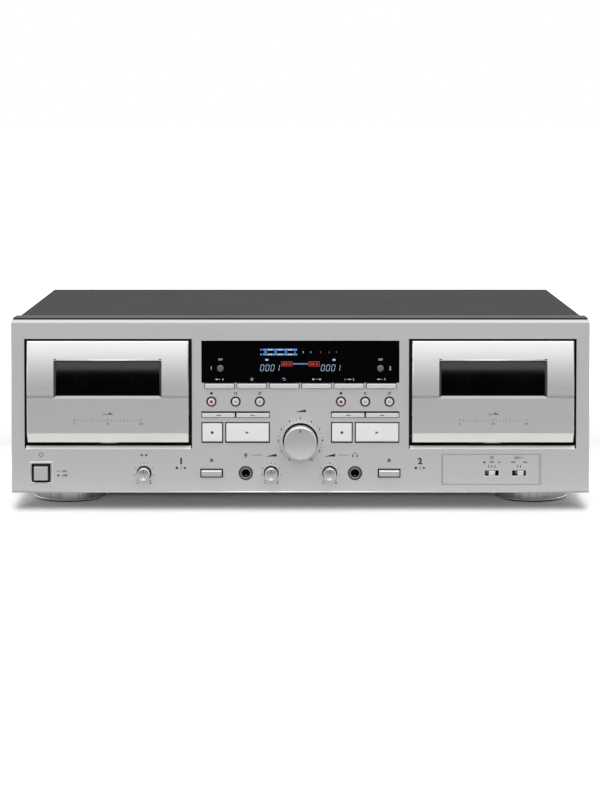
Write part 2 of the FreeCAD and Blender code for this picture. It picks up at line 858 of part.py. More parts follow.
def front_panel():
    """The metal face, with a bright bevel along the top and openings for doors, display and controls."""
    panel = Piece("front_panel")
    panel.plate(both_ways("half_panel"), PANEL_Y, ("foot_height", "panel_top"))
    for size, level in (("top_bevel", "panel_top"), ("edge_bevel", "foot_height")):
        panel.soften("Chamfer", size, lambda e: panel.at_front(e) and on_plane(e, "Z", value(level)))
    rim_y = ("face_y - power_rim_reach", "panel_back")
    rim_half = "power_hole + power_rim"
    panel.block(about("-power_x", rim_half), rim_y, about("control_z", rim_half))
    slots = [recess(side) for side in SIDES]
    slots.append((both_ways("display_half"), ("display_bottom", "display_top")))
    slots.append((about("-power_x", "power_hole"), about("control_z", "power_hole")))
    for side in SIDES:
        slots.append((about(f"{side} * group_x", "group_half"), ("wind_bottom", "wind_top")))
    large = [key for key in TRANSPORT_KEYS if key.reach == "play_reach"]
    slots += [key_opening(key, "play_key_gap") for key in large]
    slots += [key_opening(key, "eject_gap") for key in EJECT_KEYS]
    for x in ("timer_x", "noise_x"):
        slots.append((about(x, "slider_slot / 2"), about("control_z", "slider_slot_height / 2")))
    holes = [(spot, "round_hole") for name, spot in ROUND_KEYS]
    holes.append((("0", "level_z"), "level_knob_radius + level_knob_gap"))
    holes += [((x, "control_z"), "small_knob_radius + small_knob_gap") for x in KNOB_X]
    holes += [((f"{side} * jack_x", "control_z"), "jack_ring_radius + jack_play") for side in SIDES]
    panel.openings(rim_y, slots, holes)
    notch_z = ("function_bottom", "display_bottom + edge_bevel")
    panel.openings(PANEL_Y, [(about(key.x, "function_half"), notch_z) for key in FUNCTION_KEYS])

    def ledge(edge):
        return on_plane(edge, "Y", value("face_y")) and on_plane(edge, "Z", value("recess_bottom"))

    panel.soften("Chamfer", "ledge_bevel", ledge)
    panel.soften("Chamfer", "power_rim_bevel", panel.at_front)
    return panel.done()


def frame_shell(label, span, hollow):
    """One moulding of the frame: its share of the plate and of the rim, open at the back."""
    shell = Piece(label)
    shell.plate(span, ("panel_back", "frame_back"), ("foot_height", "case_top"))
    inside_z = ("foot_height + frame_wall", "case_top - frame_wall")
    shell.block(hollow, ("plate_back", "frame_back + 1"), inside_z, cut=True)
    return shell


def frame_end(name, side, slots, spots):
    """The moulding round one door, with the well, the hinge bores and the posts of its side board."""
    span = on_side(side, "frame_joint", "frame_half")
    end = frame_shell(f"frame_{name}", span, on_side(side, "frame_joint - 1", "frame_half - frame_wall"))
    well_y = ("panel_back", "well_back")
    end.block(about(deck_x(side), "well_half"), well_y, ("well_bottom", "well_top"))
    low = "board_bottom + board_post_inset"
    posts = [f"{side} * (side_board_inner + board_post_inset)", f"{side} * (door_x + side_post_offset)"]
    end.studs(("plate_back", "board_front"), (), [((x, low), "boss_radius") for x in posts])
    end.openings(well_y, [recess(side)])
    end.openings(PLATE_Y, slots, [(spot, "small_shaft + guide_play") for spot in spots])
    for hand in SIDES:
        across = on_side(hand, "recess_half - well_wall", "well_half + board_clearance / 2", deck_x(side))
        end.drum("x", ("hinge_y", "hinge_z"), across, "hinge_pin_radius + hinge_play", cut=True)
    return end.body


def frame_middle():
    """The moulding between the doors, with the key guides and the posts of the centre board."""
    middle = frame_shell("frame_middle", both_ways("frame_joint"), both_ways("frame_joint + 1"))
    posts = []
    for side in SIDES:
        posts.append((f"{side} * (board_half - board_post_inset)", "board_top - board_post_inset"))
        posts.append((f"{side} * (jack_x + jack_spacing / 2)", "board_bottom + board_post_inset"))
    middle.studs(("plate_back", "board_front"), (), [(spot, "boss_radius") for spot in posts])
    slots = [(both_ways("tube_half"), ("tube_bottom", "tube_top"))]
    slots += [key_opening(key, "guide_play") for key in FUNCTION_KEYS + TRANSPORT_KEYS + EJECT_KEYS]
    holes = [(spot, "round_key_radius + guide_play") for name, spot in ROUND_KEYS]
    holes.append((("0", "level_z"), "level_shaft + guide_play"))
    for side in SIDES:
        holes.append(((f"{side} * small_knob_x", "control_z"), "small_shaft + guide_play"))
        holes.append(((f"{side} * jack_x", "control_z"), "jack_ring_radius + jack_play"))
        holes.append(((f"{side} * counter_x", "counter_z"), "counter_radius + guide_play"))
    middle.openings(PLATE_Y, slots, holes)
    return middle.body


def front_frame():
    """The black frame behind the face, in three mouldings that meet between the doors and the keys."""
    power = [key_opening(power_key(), "guide_play")]
    height = about("control_z", "slider_height / 2 + guide_play")
    sliders = [(about(x, "slider_slot / 2"), height) for x in ("timer_x", "noise_x")]
    left = frame_end("left", -1, power, [("-pitch_knob_x", "control_z")])
    right = frame_end("right", 1, sliders, [])
    return group("front_frame", [left, frame_middle(), right])


def display_window():
    """The dark window in front of the display, with a hole for each counter reset button."""
    window = Piece("display_window")
    up = ("display_bottom + display_play", "display_top - display_play")
    window.plate(both_ways("display_half - display_play"), ("face_y + display_recess", "panel_back"), up)
    holes = [((f"{side} * counter_x", "counter_z"), "counter_radius + 2 * guide_play") for side in SIDES]
    window.openings(PANEL_Y, (), holes)
    return window.done()


def bottom_chassis():
    """The steel tray: floor, flanges, board posts and vents."""
    tray = Piece("bottom_chassis")
    whole = both_ways("inner_half")
    floor_y = ("frame_back", "rear_inner")
    tray.block(whole, floor_y, ("foot_height", "floor_top"))
    front_y = ("frame_back", "frame_back + chassis_sheet")
    rear_y = ("rear_inner - chassis_sheet", "rear_inner")
    tray.block(whole, front_y, ("foot_height", "foot_height + front_flange"))
    tray.block(whole, rear_y, ("foot_height", "foot_height + rear_flange"))
    for side in SIDES:
        wall = on_side(side, "inner_half - chassis_sheet", "inner_half")
        tray.block(wall, floor_y, ("foot_height", "foot_height + side_flange"))
    for x in ("main_board_left + main_post_inset", "main_board_right - main_post_inset"):
        for y in ("main_board_front + main_post_inset", "main_board_rear - main_post_inset"):
            tray.drum("z", (x, y), ("foot_height", "main_board_z"), "main_post_radius")
    for side in SIDES:
        wall = on_side(side, "inner_half - 2 * chassis_sheet", "inner_half + chassis_sheet")
        for y in SIDE_SCREW_Y:
            tray.drum("x", (y, "side_screw_z"), wall, "screw_hole", cut=True)
        low_y = ("rear_inner - 2 * chassis_sheet", "rear_inner + chassis_sheet")
        tray.drum("y", (f"{side} * low_screw_x", "low_screw_z"), low_y, "screw_hole", cut=True)
        core_x = f"-core_x + {side} * core_screw_x"
        tray.drum("z", (core_x, "core_y"), ("foot_height - 1", "floor_top + 1"), "screw_hole", cut=True)
    vent_x = ("-inner_half + vent_side", "-inner_half + vent_side + vent_width")
    vent_y = ("frame_back + vent_front", "frame_back + vent_front + vent_length")
    first = tray.block(vent_x, vent_y, ("foot_height - 1", "floor_top + 1"), cut=True)
    vents = tray.repeat("LinearPattern", first, value("vent_count"))
    vents.Direction = (tray.origin_feature("X_Axis"), [""])
    vents.Mode = "Spacing"
    vents.setExpression("Offset", link("vent_pitch"))
    return tray.done()


def rear_panel():
    """The rear sheet, with flanges that the cover seats on and openings for the sockets."""
    rear = Piece("rear_panel")
    whole = both_ways("inner_half")
    return_y = ("rear_inner - rear_return", "rear_face")
    rear.plate(whole, ("rear_inner", "rear_face"), ("foot_height", "inner_top"))
    rear.block(whole, return_y, ("inner_top - chassis_sheet", "inner_top"))
    for side in SIDES:
        wall = on_side(side, "inner_half - chassis_sheet", "inner_half")
        rear.block(wall, return_y, ("foot_height + side_flange + rear_return_gap", "inner_top"))
    slot_x = about("-inlet_x", "inlet_width / 2 + inlet_wall + inlet_play")
    slot_z = about("inlet_z", "inlet_height / 2 + inlet_wall + inlet_play")
    holes = [((x, "rear_screw_z"), "screw_hole") for x in REAR_SCREW_X]
    holes += [((f"{side} * low_screw_x", "low_screw_z"), "screw_hole") for side in SIDES]
    holes += [(spot, "phono_radius + phono_hole_gap") for block in SIDES for spot in phono_spots(block)]
    rear.openings(("rear_inner", "rear_face"), [(slot_x, slot_z)], holes)
    return rear.done()


def top_cover():
    """The dark steel cover: top, two sides and a rear lip, folded from one sheet."""
    cover = Piece("top_cover")
    low = "foot_height + cover_ground_gap"
    outline = (
        ("-cover_half", low),
        ("-inner_half", low),
        ("-inner_half", "inner_top"),
        ("inner_half", "inner_top"),
        ("inner_half", low),
        ("cover_half", low),
        ("cover_half", "case_top"),
        ("-cover_half", "case_top"),
    )
    sketch = cover.sketch("XZ_Plane", ("0", "0", "-cover_rear"))
    cover.polygon(sketch, outline)
    cover.pad(sketch, "cover_rear - frame_back - cover_seam")
    cover.block(both_ways("cover_half"), ("rear_face", "cover_rear"), ("case_top - cover_lip", "case_top"))

    def long_corner(edge):
        outer = any(on_plane(edge, "X", side * value("cover_half")) for side in SIDES)
        return outer and on_plane(edge, "Z", value("case_top"))

    cover.soften("Fillet", "cover_corner", long_corner)
    for side in SIDES:
        wall = on_side(side, "inner_half - cover_sheet", "cover_half + cover_sheet")
        for y in SIDE_SCREW_Y:
            cover.drum("x", (y, "side_screw_z"), wall, "screw_hole", cut=True)
    for x in REAR_SCREW_X:
        through = ("rear_face - cover_sheet", "cover_rear + cover_sheet")
        cover.drum("y", (x, "rear_screw_z"), through, "screw_hole", cut=True)
    return cover.done()


def feet():
    """Four round feet, each with a narrower pad that meets the floor."""
    profile = (
        ("0", "0"),
        ("foot_pad_radius", "0"),
        ("foot_pad_radius", "foot_pad_height"),
        ("foot_radius - foot_rounding", "foot_pad_height"),
        ("foot_radius", "foot_pad_height + foot_rounding"),
        ("foot_radius", "foot_height"),
        ("0", "foot_height"),
    )
    made = []
    for end in ("front", "rear"):
        for side in SIDES:
            foot = Piece(f"foot_{end}_{'left' if side < 0 else 'right'}")
            foot.revolve("z", (f"{side} * foot_x", f"foot_{end}_y"), profile)
            made.append(foot.body)
    return group("feet", made)


def screw(label, axis, centre, seat, way):
    """A pan head screw on its seat. The way, 1 or -1, is where its head points along the axis."""
    piece = Piece(label)
    profile = (
        ("0", f"{seat} + {way} * screw_head_height"),
        ("screw_head_radius - screw_head_bevel", f"{seat} + {way} * screw_head_height"),
        ("screw_head_radius", f"{seat} + {way} * (screw_head_height - screw_head_bevel)"),
        ("screw_head_radius", seat),
        ("screw_radius", seat),
        ("screw_radius", f"{seat} - {way} * screw_length"),
        ("0", f"{seat} - {way} * screw_length"),
    )
    piece.revolve(axis, centre, profile)
    return piece.body


def case_screws():
    """The like screws of the case, each a separate solid."""
    made = []
    for side in SIDES:
        hand = "left" if side < 0 else "right"
        for n, y in enumerate(SIDE_SCREW_Y, 1):
            made.append(screw(f"{hand}_screw_{n}", "x", (y, "side_screw_z"), f"{side} * cover_half", side))
        low = (f"{side} * low_screw_x", "low_screw_z")
        made.append(screw(f"{hand}_low_screw", "y", low, "rear_face", 1))
        core = (f"-core_x + {side} * core_screw_x", "core_y")
        made.append(screw(f"{hand}_core_screw", "z", core, "bracket_top", 1))
    for n, x in enumerate(REAR_SCREW_X, 1):
        made.append(screw(f"rear_screw_{n}", "y", (x, "rear_screw_z"), "cover_rear", 1))
    return group("case_screws", made)


# Sub-parts of the doors

def window_opening(side, grow):
    """A door's window, grown by an amount on each side, seen from the front."""
    across = about(deck_x(side), f"window_half + ({grow})")
    return across, (f"window_bottom - ({grow})", f"window_top + ({grow})")


def door_outline(door, side):
    """The door's section: a bevelled foot, a flat face, and an arc that curves back to the top."""
    sketch = door.sketch("YZ_Plane", ("0", "0", deck_x(side, "-door_half")))
    lean, rise = value("curve_lean"), value("curve_height")
    radius = (rise * rise + lean * lean) / (2 * lean)
    points = (
        ("door_front + curve_lean", "door_top"),
        ("door_back", "door_top"),
        ("door_back", "door_bottom"),
        ("door_front + strip_lean", "door_bottom"),
        ("door_front", "strip_top"),
        ("door_front", "door_top - curve_height"),
    )
    front, top = value("door_front"), value("door_top")
    rough = (
        (front + lean, top),
        (value("door_back"), top),
        (value("door_back"), value("door_bottom")),
        (front + value("strip_lean"), value("door_bottom")),
        (front, value("strip_top")),
        (front, top - rise),
    )
    for start, end in zip(rough, rough[1:]):
        sketch.addGeometry(Part.LineSegment(FreeCAD.Vector(*start, 0), FreeCAD.Vector(*end, 0)), False)
    # The arc runs anticlockwise, from the top of the door down to where the flat face begins.
    ring = Part.Circle(FreeCAD.Vector(front + radius, top - rise, 0), FreeCAD.Vector(0, 0, 1), radius)
    arc = Part.ArcOfCircle(ring, math.pi - math.asin(rise / radius), math.pi)
    curve = sketch.addGeometry(arc, False)
    last = curve - 1
    for n in range(last):
        sketch.addConstraint(Sketcher.Constraint("Coincident", n, 2, n + 1, 1))
    sketch.addConstraint(Sketcher.Constraint("Coincident", curve, 1, 0, 1))
    sketch.addConstraint(Sketcher.Constraint("Tangent", last, 2, curve, 2))
    for n in range(curve):
        hold(sketch, n, 1, points[n], rough[n])
    hold(sketch, last, 2, points[curve], rough[curve])
    return sketch


def door_cover(deck, side):
    """The silver door: shell, side returns, bosses for the holder, and a framed window."""
    door = Piece(f"door_cover_{deck}")
    door.pad(door_outline(door, side), "door_width")

    def outer_edge(edge):
        box = edge.BoundBox
        side_face = abs(abs(box.Center.x - side * value("door_x")) - value("door_half")) < 1e-4
        forward = box.YMax < value("face_y")
        return forward and (side_face or on_plane(edge, "Z", value("door_top")))

    door.soften("Fillet", "door_edge", outer_edge)
    pocket_x = about(deck_x(side), "door_half - door_side_wall")
    pocket_y = ("door_inner", "door_back + 1")
    door.block(pocket_x, pocket_y, ("strip_top", "door_top - door_side_wall"), cut=True)
    return_y = ("door_back - door_tuck", "face_y + door_return")
    return_z = ("door_bottom + door_return_lift", "door_top - door_side_wall")
    for hand in SIDES:
        wall = on_side(hand, "door_half - door_side_wall", "door_half", deck_x(side))
        door.block(wall, return_y, return_z)
    outer = door.front_sketch("door_front - window_bevel", [window_opening(side, "window_bevel")], ())
    inner = door.front_sketch("door_front + window_bevel", [window_opening(side, "-window_bevel")], ())
    bezel = door.feature("SubtractiveLoft")
    bezel.Profile = outer
    bezel.Sections = [inner]
    bezel.Ruled = True
    door.openings(("door_front + window_bevel", "door_inner"), [window_opening(side, "-window_bevel")])
    spots = [(deck_x(side, f"{hand} * boss_x"), z) for hand in SIDES for z in ("boss_low", "boss_high")]
    door.studs(("door_inner", "face_y"), (), [(spot, "boss_radius") for spot in spots])
    return door.done()


def door_lens(deck, side):
    """The smoked window, fixed to the inside of the door."""
    lens = Piece(f"door_lens_{deck}")
    across, up = window_opening(side, "lens_border")
    lens.plate(across, ("door_inner", "door_inner + lens_thickness"), up)
    return lens.done()


def cassette_holder(deck, side):
    """The black carrier behind the door: front wall, two channels, shelves and the hinge arms."""
    holder = Piece(f"cassette_holder_{deck}")
    wall_z = ("holder_bottom", "holder_top")
    holder.block(about(deck_x(side), "holder_outer"), ("face_y", "holder_inner_y"), wall_z)
    channel_z = ("holder_bottom", "holder_top - holder_step")
    whole_y = ("face_y", "holder_lip_y")
    for hand in SIDES:
        wall = on_side(hand, "holder_half", "holder_outer", deck_x(side))
        lip = on_side(hand, "holder_half - holder_lip", "holder_outer", deck_x(side))
        shelf = on_side(hand, "shelf_inner", "holder_outer", deck_x(side))
        pin = on_side(hand, "holder_half", "well_half - hinge_pin_gap", deck_x(side))
        holder.block(wall, whole_y, channel_z)
        holder.block(lip, ("holder_back_y", "holder_lip_y"), channel_z)
        holder.block(shelf, whole_y, ("holder_bottom", "shelf_z"))
        holder.drum("x", ("hinge_y", "hinge_z"), wall, "hinge_boss_radius")
        holder.block(wall, about("hinge_y", "hinge_arm_half"), ("hinge_z", "shelf_z"))
        holder.drum("x", ("hinge_y", "hinge_z"), pin, "hinge_pin_radius")
    holder.openings(("face_y", "holder_inner_y"), [window_opening(side, "-window_bevel")])
    return holder.done()


# Sub-parts of the tape transports

def transport_frame(deck, side):
    """The plate that closes a door well, with spindle bushes, the capstan bearing, guides and posts."""
    frame = Piece(f"transport_frame_{deck}")
    frame.plate(about(deck_x(side), "well_half"), ("well_back", "plate_rear"), ("well_bottom", "well_top"))
    hubs = [(deck_x(side, f"{hand} * hub_spacing / 2"), "hub_z") for hand in SIDES]
    guides = [(deck_x(side, f"{hand} * guide_offset"), "guide_z") for hand in SIDES]
    levels = ("post_low", "post_high")
    posts = [(deck_x(side, f"{hand} * post_spread"), z) for hand in SIDES for z in levels]
    capstan = (deck_x(side, "capstan_offset"), "capstan_z")
    frame.studs(("plate_rear", "bush_rear"), (), [(spot, "spindle_bush") for spot in hubs])
    guide_y = ("carriage_front - running_gap", "well_back")
    frame.studs(guide_y, (), [(spot, "guide_radius") for spot in guides])
    frame.studs(("plate_rear", "bracket_front"), (), [(spot, "post_radius") for spot in posts])
    frame.drum("y", capstan, ("well_back", "flywheel_front - running_gap"), "capstan_bush")
    bores = [(spot, "spindle_shaft + shaft_play") for spot in hubs]
    bores.append((capstan, "capstan_radius + shaft_play"))
    frame.openings(("well_back", "flywheel_front"), (), bores)
    return frame.body


def transport_bracket(deck, side):
    """The rear sheet of a transport, with the flywheel's rear bearing and the motor's seat."""
    bracket = Piece(f"transport_bracket_{deck}")
    border = "post_radius + bracket_margin"
    across = about(deck_x(side), f"post_spread + {border}")
    bracket_y = ("bracket_front", "bracket_rear")
    bracket.plate(across, bracket_y, (f"post_low - ({border})", f"post_high + {border}"))
    holes = [
        ((deck_x(side, "capstan_offset"), "capstan_z"), "flywheel_tail + shaft_play"),
        ((deck_x(side, "motor_offset"), "capstan_z"), "motor_boss + screw_play"),
        ((deck_x(side), "hub_z + bracket_window"), "bracket_window"),
    ]
    bracket.openings(bracket_y, (), holes)
    return bracket.body


def motor(deck, side):
    """A motor with its boss, shaft and pulley."""
    piece = Piece(f"motor_{deck}")
    spot = (deck_x(side, "motor_offset"), "capstan_z")
    piece.drum("y", spot, ("bracket_rear", "bracket_rear + motor_length"), "motor_radius")
    piece.soften("Fillet", "motor_rounding", piece.at_back)
    piece.drum("y", spot, ("bracket_front", "bracket_rear"), "motor_boss")
    piece.drum("y", spot, ("belt_y", "bracket_front"), "motor_shaft")
    piece.drum("y", spot, about("belt_y", "belt_width / 2 + pulley_rim"), "pulley_radius")
    return piece.body


def belt(deck, side):
    """The flat belt round the pulley and the flywheel, its two runs tangent to both."""
    loop = doc.addObject("Part::Feature", f"belt_{deck}")
    loop.Label = f"belt_{deck}"
    level = value("belt_y") - value("belt_width") / 2
    middle = side * value("door_x")
    wheel = FreeCAD.Vector(middle + value("capstan_offset"), level, value("capstan_z"))
    pulley = FreeCAD.Vector(middle + value("motor_offset"), level, value("capstan_z"))
    wheel_radius = value("flywheel_radius") + value("running_gap")
    pulley_radius = value("pulley_radius") + value("belt_play")
    faces = []
    for grow in (0, value("belt_thickness")):
        edges = belt_loop(wheel, wheel_radius + grow, pulley, pulley_radius + grow)
        faces.append(Part.Face(Part.Wire(edges)))
    loop.Shape = faces[1].cut(faces[0]).extrude(FreeCAD.Vector(0, value("belt_width"), 0))
    return loop


def belt_loop(wheel, wheel_radius, pulley, pulley_radius):
    """Two arcs and two straight runs round a pair of wheels that lie side by side along X."""
    apart = pulley.x - wheel.x
    lean = math.acos((wheel_radius - pulley_radius) / abs(apart))
    way = math.copysign(1, apart)

    def rim(centre, radius, angle):
        return centre + FreeCAD.Vector(way * radius * math.cos(angle), 0, radius * math.sin(angle))

    def arc(centre, radius, start, middle, end):
        return Part.Arc(*[rim(centre, radius, angle) for angle in (start, middle, end)]).toShape()

    def run(angle):
        ends = (rim(wheel, wheel_radius, angle), rim(pulley, pulley_radius, angle))
        return Part.LineSegment(*ends).toShape()

    return [
        arc(wheel, wheel_radius, lean, math.pi, -lean),
        run(-lean),
        arc(pulley, pulley_radius, -lean, 0, lean),
        run(lean),
    ]


def reel_spindle(label, side, hand):
    """A spindle with three fins, a shaft through its bush, and the gear behind the plate."""
    spindle = Piece(label)
    x = deck_x(side, f"{hand} * hub_spacing / 2")
    tip = "well_back - spindle_length"
    seat = "well_back - running_gap"
    collar = f"{seat} - spindle_collar_height"
    profile = (
        ("0", tip),
        ("spindle_tip", tip),
        ("spindle_core", f"{tip} + spindle_taper"),
        ("spindle_core", collar),
        ("spindle_collar", collar),
        ("spindle_collar", seat),
        ("spindle_shaft", seat),
        ("spindle_shaft", "gear_front"),
        ("reel_gear_radius", "gear_front"),
        ("reel_gear_radius", "gear_rear"),
        ("0", "gear_rear"),
    )
    spindle.revolve("y", (x, "hub_z"), profile)
    fin = spindle.sketch("XZ_Plane", (x, "hub_z", f"-({collar})"))
    spindle.rectangle(fin, about("0", "spindle_fin / 2"), ("0", "spindle_radius"))
    first = spindle.pad(fin, f"{collar} - ({tip}) - spindle_taper")
    fins = spindle.repeat("PolarPattern", first, 3)
    fins.Axis = (fin, ["N_Axis"])
    fins.Angle = 360
    return spindle.done()


def flywheel(deck, side):
    """The flywheel and its capstan, turned in one piece about the capstan's axis."""
    wheel = Piece(f"capstan_flywheel_{deck}")
    rim = "flywheel_radius - flywheel_rim"
    tip = "well_back - capstan_reach"
    end = "bracket_rear - shaft_play"
    profile = (
        ("0", tip),
        ("capstan_radius", tip),
        ("capstan_radius", "flywheel_front"),
        ("flywheel_radius", "flywheel_front"),
        ("flywheel_radius", "flywheel_rear"),
        (rim, "flywheel_rear"),
        (rim, "flywheel_front + flywheel_web"),
        ("flywheel_hub", "flywheel_front + flywheel_web"),
        ("flywheel_hub", "flywheel_rear"),
        ("flywheel_tail", "flywheel_rear"),
        ("flywheel_tail", end),
        ("0", end),
    )
    wheel.revolve("y", (deck_x(side, "capstan_offset"), "capstan_z"), profile)
    return wheel.done()


def head_carriage(deck, side):
    """The sliding plate with the record and play head, the erase head and the pinch roller."""
    plate = Piece(f"head_carriage_{deck}")
    plate_y = ("carriage_front", "carriage_rear")
    plate.plate(about(deck_x(side), "carriage_half"), plate_y, ("carriage_bottom", "carriage_top"))
    reach = ("carriage_front - head_depth", "carriage_front")
    plate.block(about(deck_x(side), "head_width / 2"), reach, ("head_bottom", "head_top"))

    def shoulder(edge):
        across = abs(abs(edge.BoundBox.Center.x - side * value("door_x")) - value("head_width") / 2)
        return on_plane(edge, "Z", value("head_top")) and across < 1e-4

    plate.soften("Fillet", "head_rounding", shoulder)
    erase = about(deck_x(side, "erase_head_offset"), "erase_head_width / 2")
    plate.block(erase, reach, ("head_bottom", "head_top - erase_head_step"))
    roller = (deck_x(side, "capstan_offset"), "pinch_z")
    roller_rear = "carriage_front - pinch_gap"
    axle_tip = f"{roller_rear} - pinch_width - pinch_gap"
    plate.drum("y", roller, (f"{roller_rear} - pinch_width", roller_rear), "pinch_radius")
    plate.drum("y", roller, (axle_tip, "carriage_front"), "pinch_axle")
    low = "guide_z - carriage_travel"
    guides = [deck_x(side, f"{hand} * guide_offset") for hand in SIDES]
    plate.openings(plate_y, [(about(x, "guide_slot"), (low, "guide_z")) for x in guides])
    plate.openings(plate_y, (), [((x, z), "guide_slot") for x in guides for z in (low, "guide_z")])
    return plate.done()


# Controls

def push_key(key):
    """A rectangular key: cap, collar above and below behind the frame, and a stem for its switch."""
    piece = Piece(key.name)
    width = about(key.x, key.half_width)
    piece.plate(width, (f"face_y - {key.reach}", "collar_front"), about(key.z, key.half_height))
    piece.soften("Fillet", key.rounding, piece.at_front)
    collar_z = about(key.z, f"{key.half_height} + collar_width")
    piece.block(width, ("collar_front", "collar_rear"), collar_z)
    stem_y = ("collar_rear", f"switch_tip - {key.travel} - stem_gap")
    piece.block(about(key.x, "stem_half"), stem_y, about(key.z, "stem_half"))
    return piece.done()


def round_key(label, spot, radius, reach):
    """A round key with a rounded face, a round collar and a stem."""
    piece = Piece(label)
    piece.drum("y", spot, (f"face_y - {reach}", "collar_front"), radius)
    piece.soften("Fillet", "key_rounding", piece.at_front)
    piece.drum("y", spot, ("collar_front", "collar_rear"), f"{radius} + collar_width")
    piece.drum("y", spot, ("collar_rear", "switch_tip - key_travel - stem_gap"), "stem_half")
    return piece.done()


def knob(label, spot, kind, shaft):
    """A turned knob, slightly narrower at its face, on its shaft. Its kind names its sizes."""
    piece = Piece(label)
    face = f"face_y - {kind}_reach"
    back = "face_y + knob_tuck"
    profile = (
        ("0", face),
        (f"{kind}_radius - {kind}_taper", face),
        (f"{kind}_radius", back),
        (shaft, back),
        (shaft, "shaft_end"),
        ("0", "shaft_end"),
    )
    piece.revolve("y", spot, profile)
    piece.soften("Fillet", "knob_rounding", piece.at_front)
    return piece


def level_knob():
    """The large knob, with a shallow dish in its face."""
    spot = ("0", "level_z")
    piece = knob("record_level_knob", spot, "level_knob", "level_shaft")
    face = "face_y - level_knob_reach"
    dish = (
        ("0", f"{face} - level_dish_depth"),
        ("level_dish_radius", f"{face} - level_dish_depth"),
        ("level_dish_radius", face),
        ("0", f"{face} + level_dish_depth"),
    )
    piece.revolve("y", spot, dish, "Groove")
    return piece.done()


def slider(label, x, rest):
    """The knob of a slide switch, with a plate that runs behind the frame."""
    piece = Piece(label)
    middle = f"{x} + {rest}"
    half_height = "slider_height / 2"
    cap_y = ("face_y - slider_reach", "collar_front")
    piece.plate(about(middle, "slider_width / 2"), cap_y, about("control_z", half_height))
    piece.soften("Fillet", "key_rounding", piece.at_front)
    collar_x = about(middle, "slider_width / 2 + collar_width")
    collar_z = about("control_z", f"{half_height} + collar_width")
    piece.block(collar_x, ("collar_front", "collar_rear"), collar_z)
    stem_y = ("collar_rear", "switch_front - slider_gap")
    piece.block(about(middle, "stem_half"), stem_y, about("control_z", "stem_half"))
    return piece.done()


def front_jacks():
    """The microphone and headphone sockets: a ring in the panel and a body behind the frame."""
    made = []
    mouth = "face_y - jack_ring_reach"
    for name, side in (("microphone", -1), ("headphone", 1)):
        jack = Piece(f"{name}_jack")
        spot = (f"{side} * jack_x", "control_z")
        jack.drum("y", spot, (mouth, "plate_back"), "jack_ring_radius")
        jack.soften("Chamfer", "jack_ring_bevel", jack.at_front)
        body_y = ("plate_back", "plate_back + jack_body_length")
        jack.block(about(spot[0], "jack_body_half"), body_y, about("control_z", "jack_body_half"))
        jack.drum("y", spot, (mouth, f"{mouth} + jack_bore_depth"), "jack_bore_radius", cut=True)
        made.append(jack.body)
    return group("front_jacks", made)


def centre_board():
    """The board behind the display and keys, with its soldered switches, pots and display tube."""
    board = Piece("centre_board")
    board.plate(both_ways("board_half"), BOARD_Y, ("board_bottom", "board_top"))
    tube_y = ("plate_back + tube_gap", "board_front")
    board.block(both_ways("tube_half - tube_gap"), tube_y, ("tube_bottom", "tube_top"))
    spots = [(key.x, key.z) for key in PUSH_KEYS if key.name != "power_button"]
    spots += [spot for name, spot in ROUND_KEYS]
    spots += [(f"{side} * counter_x", "counter_z") for side in SIDES]
    switches = [(about(x, "switch_half"), about(z, "switch_height_half")) for x, z in spots]
    board.studs(("switch_front", "board_front"), switches)
    board.studs(("switch_tip", "switch_front"), (), [(spot, "stem_half") for spot in spots])
    level = ("0", "level_z")
    board.drum("y", level, ("board_front - level_pot_depth", "board_front"), "level_pot_radius")
    pot_z = about("control_z", "small_pot_half")
    pots = [(about(f"{side} * small_knob_x", "small_pot_half"), pot_z) for side in SIDES]
    board.studs(("board_front - pot_depth", "board_front"), pots)
    bores = [(level, "level_shaft + shaft_play")]
    bores += [((f"{side} * small_knob_x", "control_z"), "small_shaft + shaft_play") for side in SIDES]
    room = "jack_body_half + jack_board_gap"
    slot_z = ("board_bottom - 1", f"control_z + {room}")
    slots = [(about(f"{side} * jack_x", room), slot_z) for side in SIDES]
    board.openings(("board_front - level_pot_depth", "board_rear"), slots, bores)
    return board.body


def side_board(name, side):
    """A board below a door well: power switch and pitch pot on the left, slide switches on the right."""
    board = Piece(f"{name}_board")
    across = on_side(side, "side_board_inner", "side_board_outer")
    board.plate(across, BOARD_Y, ("board_bottom", "side_board_top"))
    if side < 0:
        switch_y = ("switch_front", "board_front + power_switch_length")
        switch_x = about("-power_x", "power_half + power_switch_margin")
        board.block(switch_x, switch_y, about("control_z", "power_half"))
        board.drum("y", ("-power_x", "control_z"), ("switch_tip", "switch_front"), "stem_half")
        pot_y = ("board_front - pot_depth", "board_front")
        board.block(about("-pitch_knob_x", "small_pot_half"), pot_y, about("control_z", "small_pot_half"))
        bore = (("-pitch_knob_x", "control_z"), "small_shaft + shaft_play")
        board.openings(("board_front - pot_depth", "board_rear"), (), [bore])
        return board.body
    half = "slider_slot / 2 + slider_body_margin"
    bodies = [(about(x, half), about("control_z", "switch_half")) for x in ("timer_x", "noise_x")]
    board.studs(("switch_front", "board_front"), bodies)
    return board.body


# Inside and rear

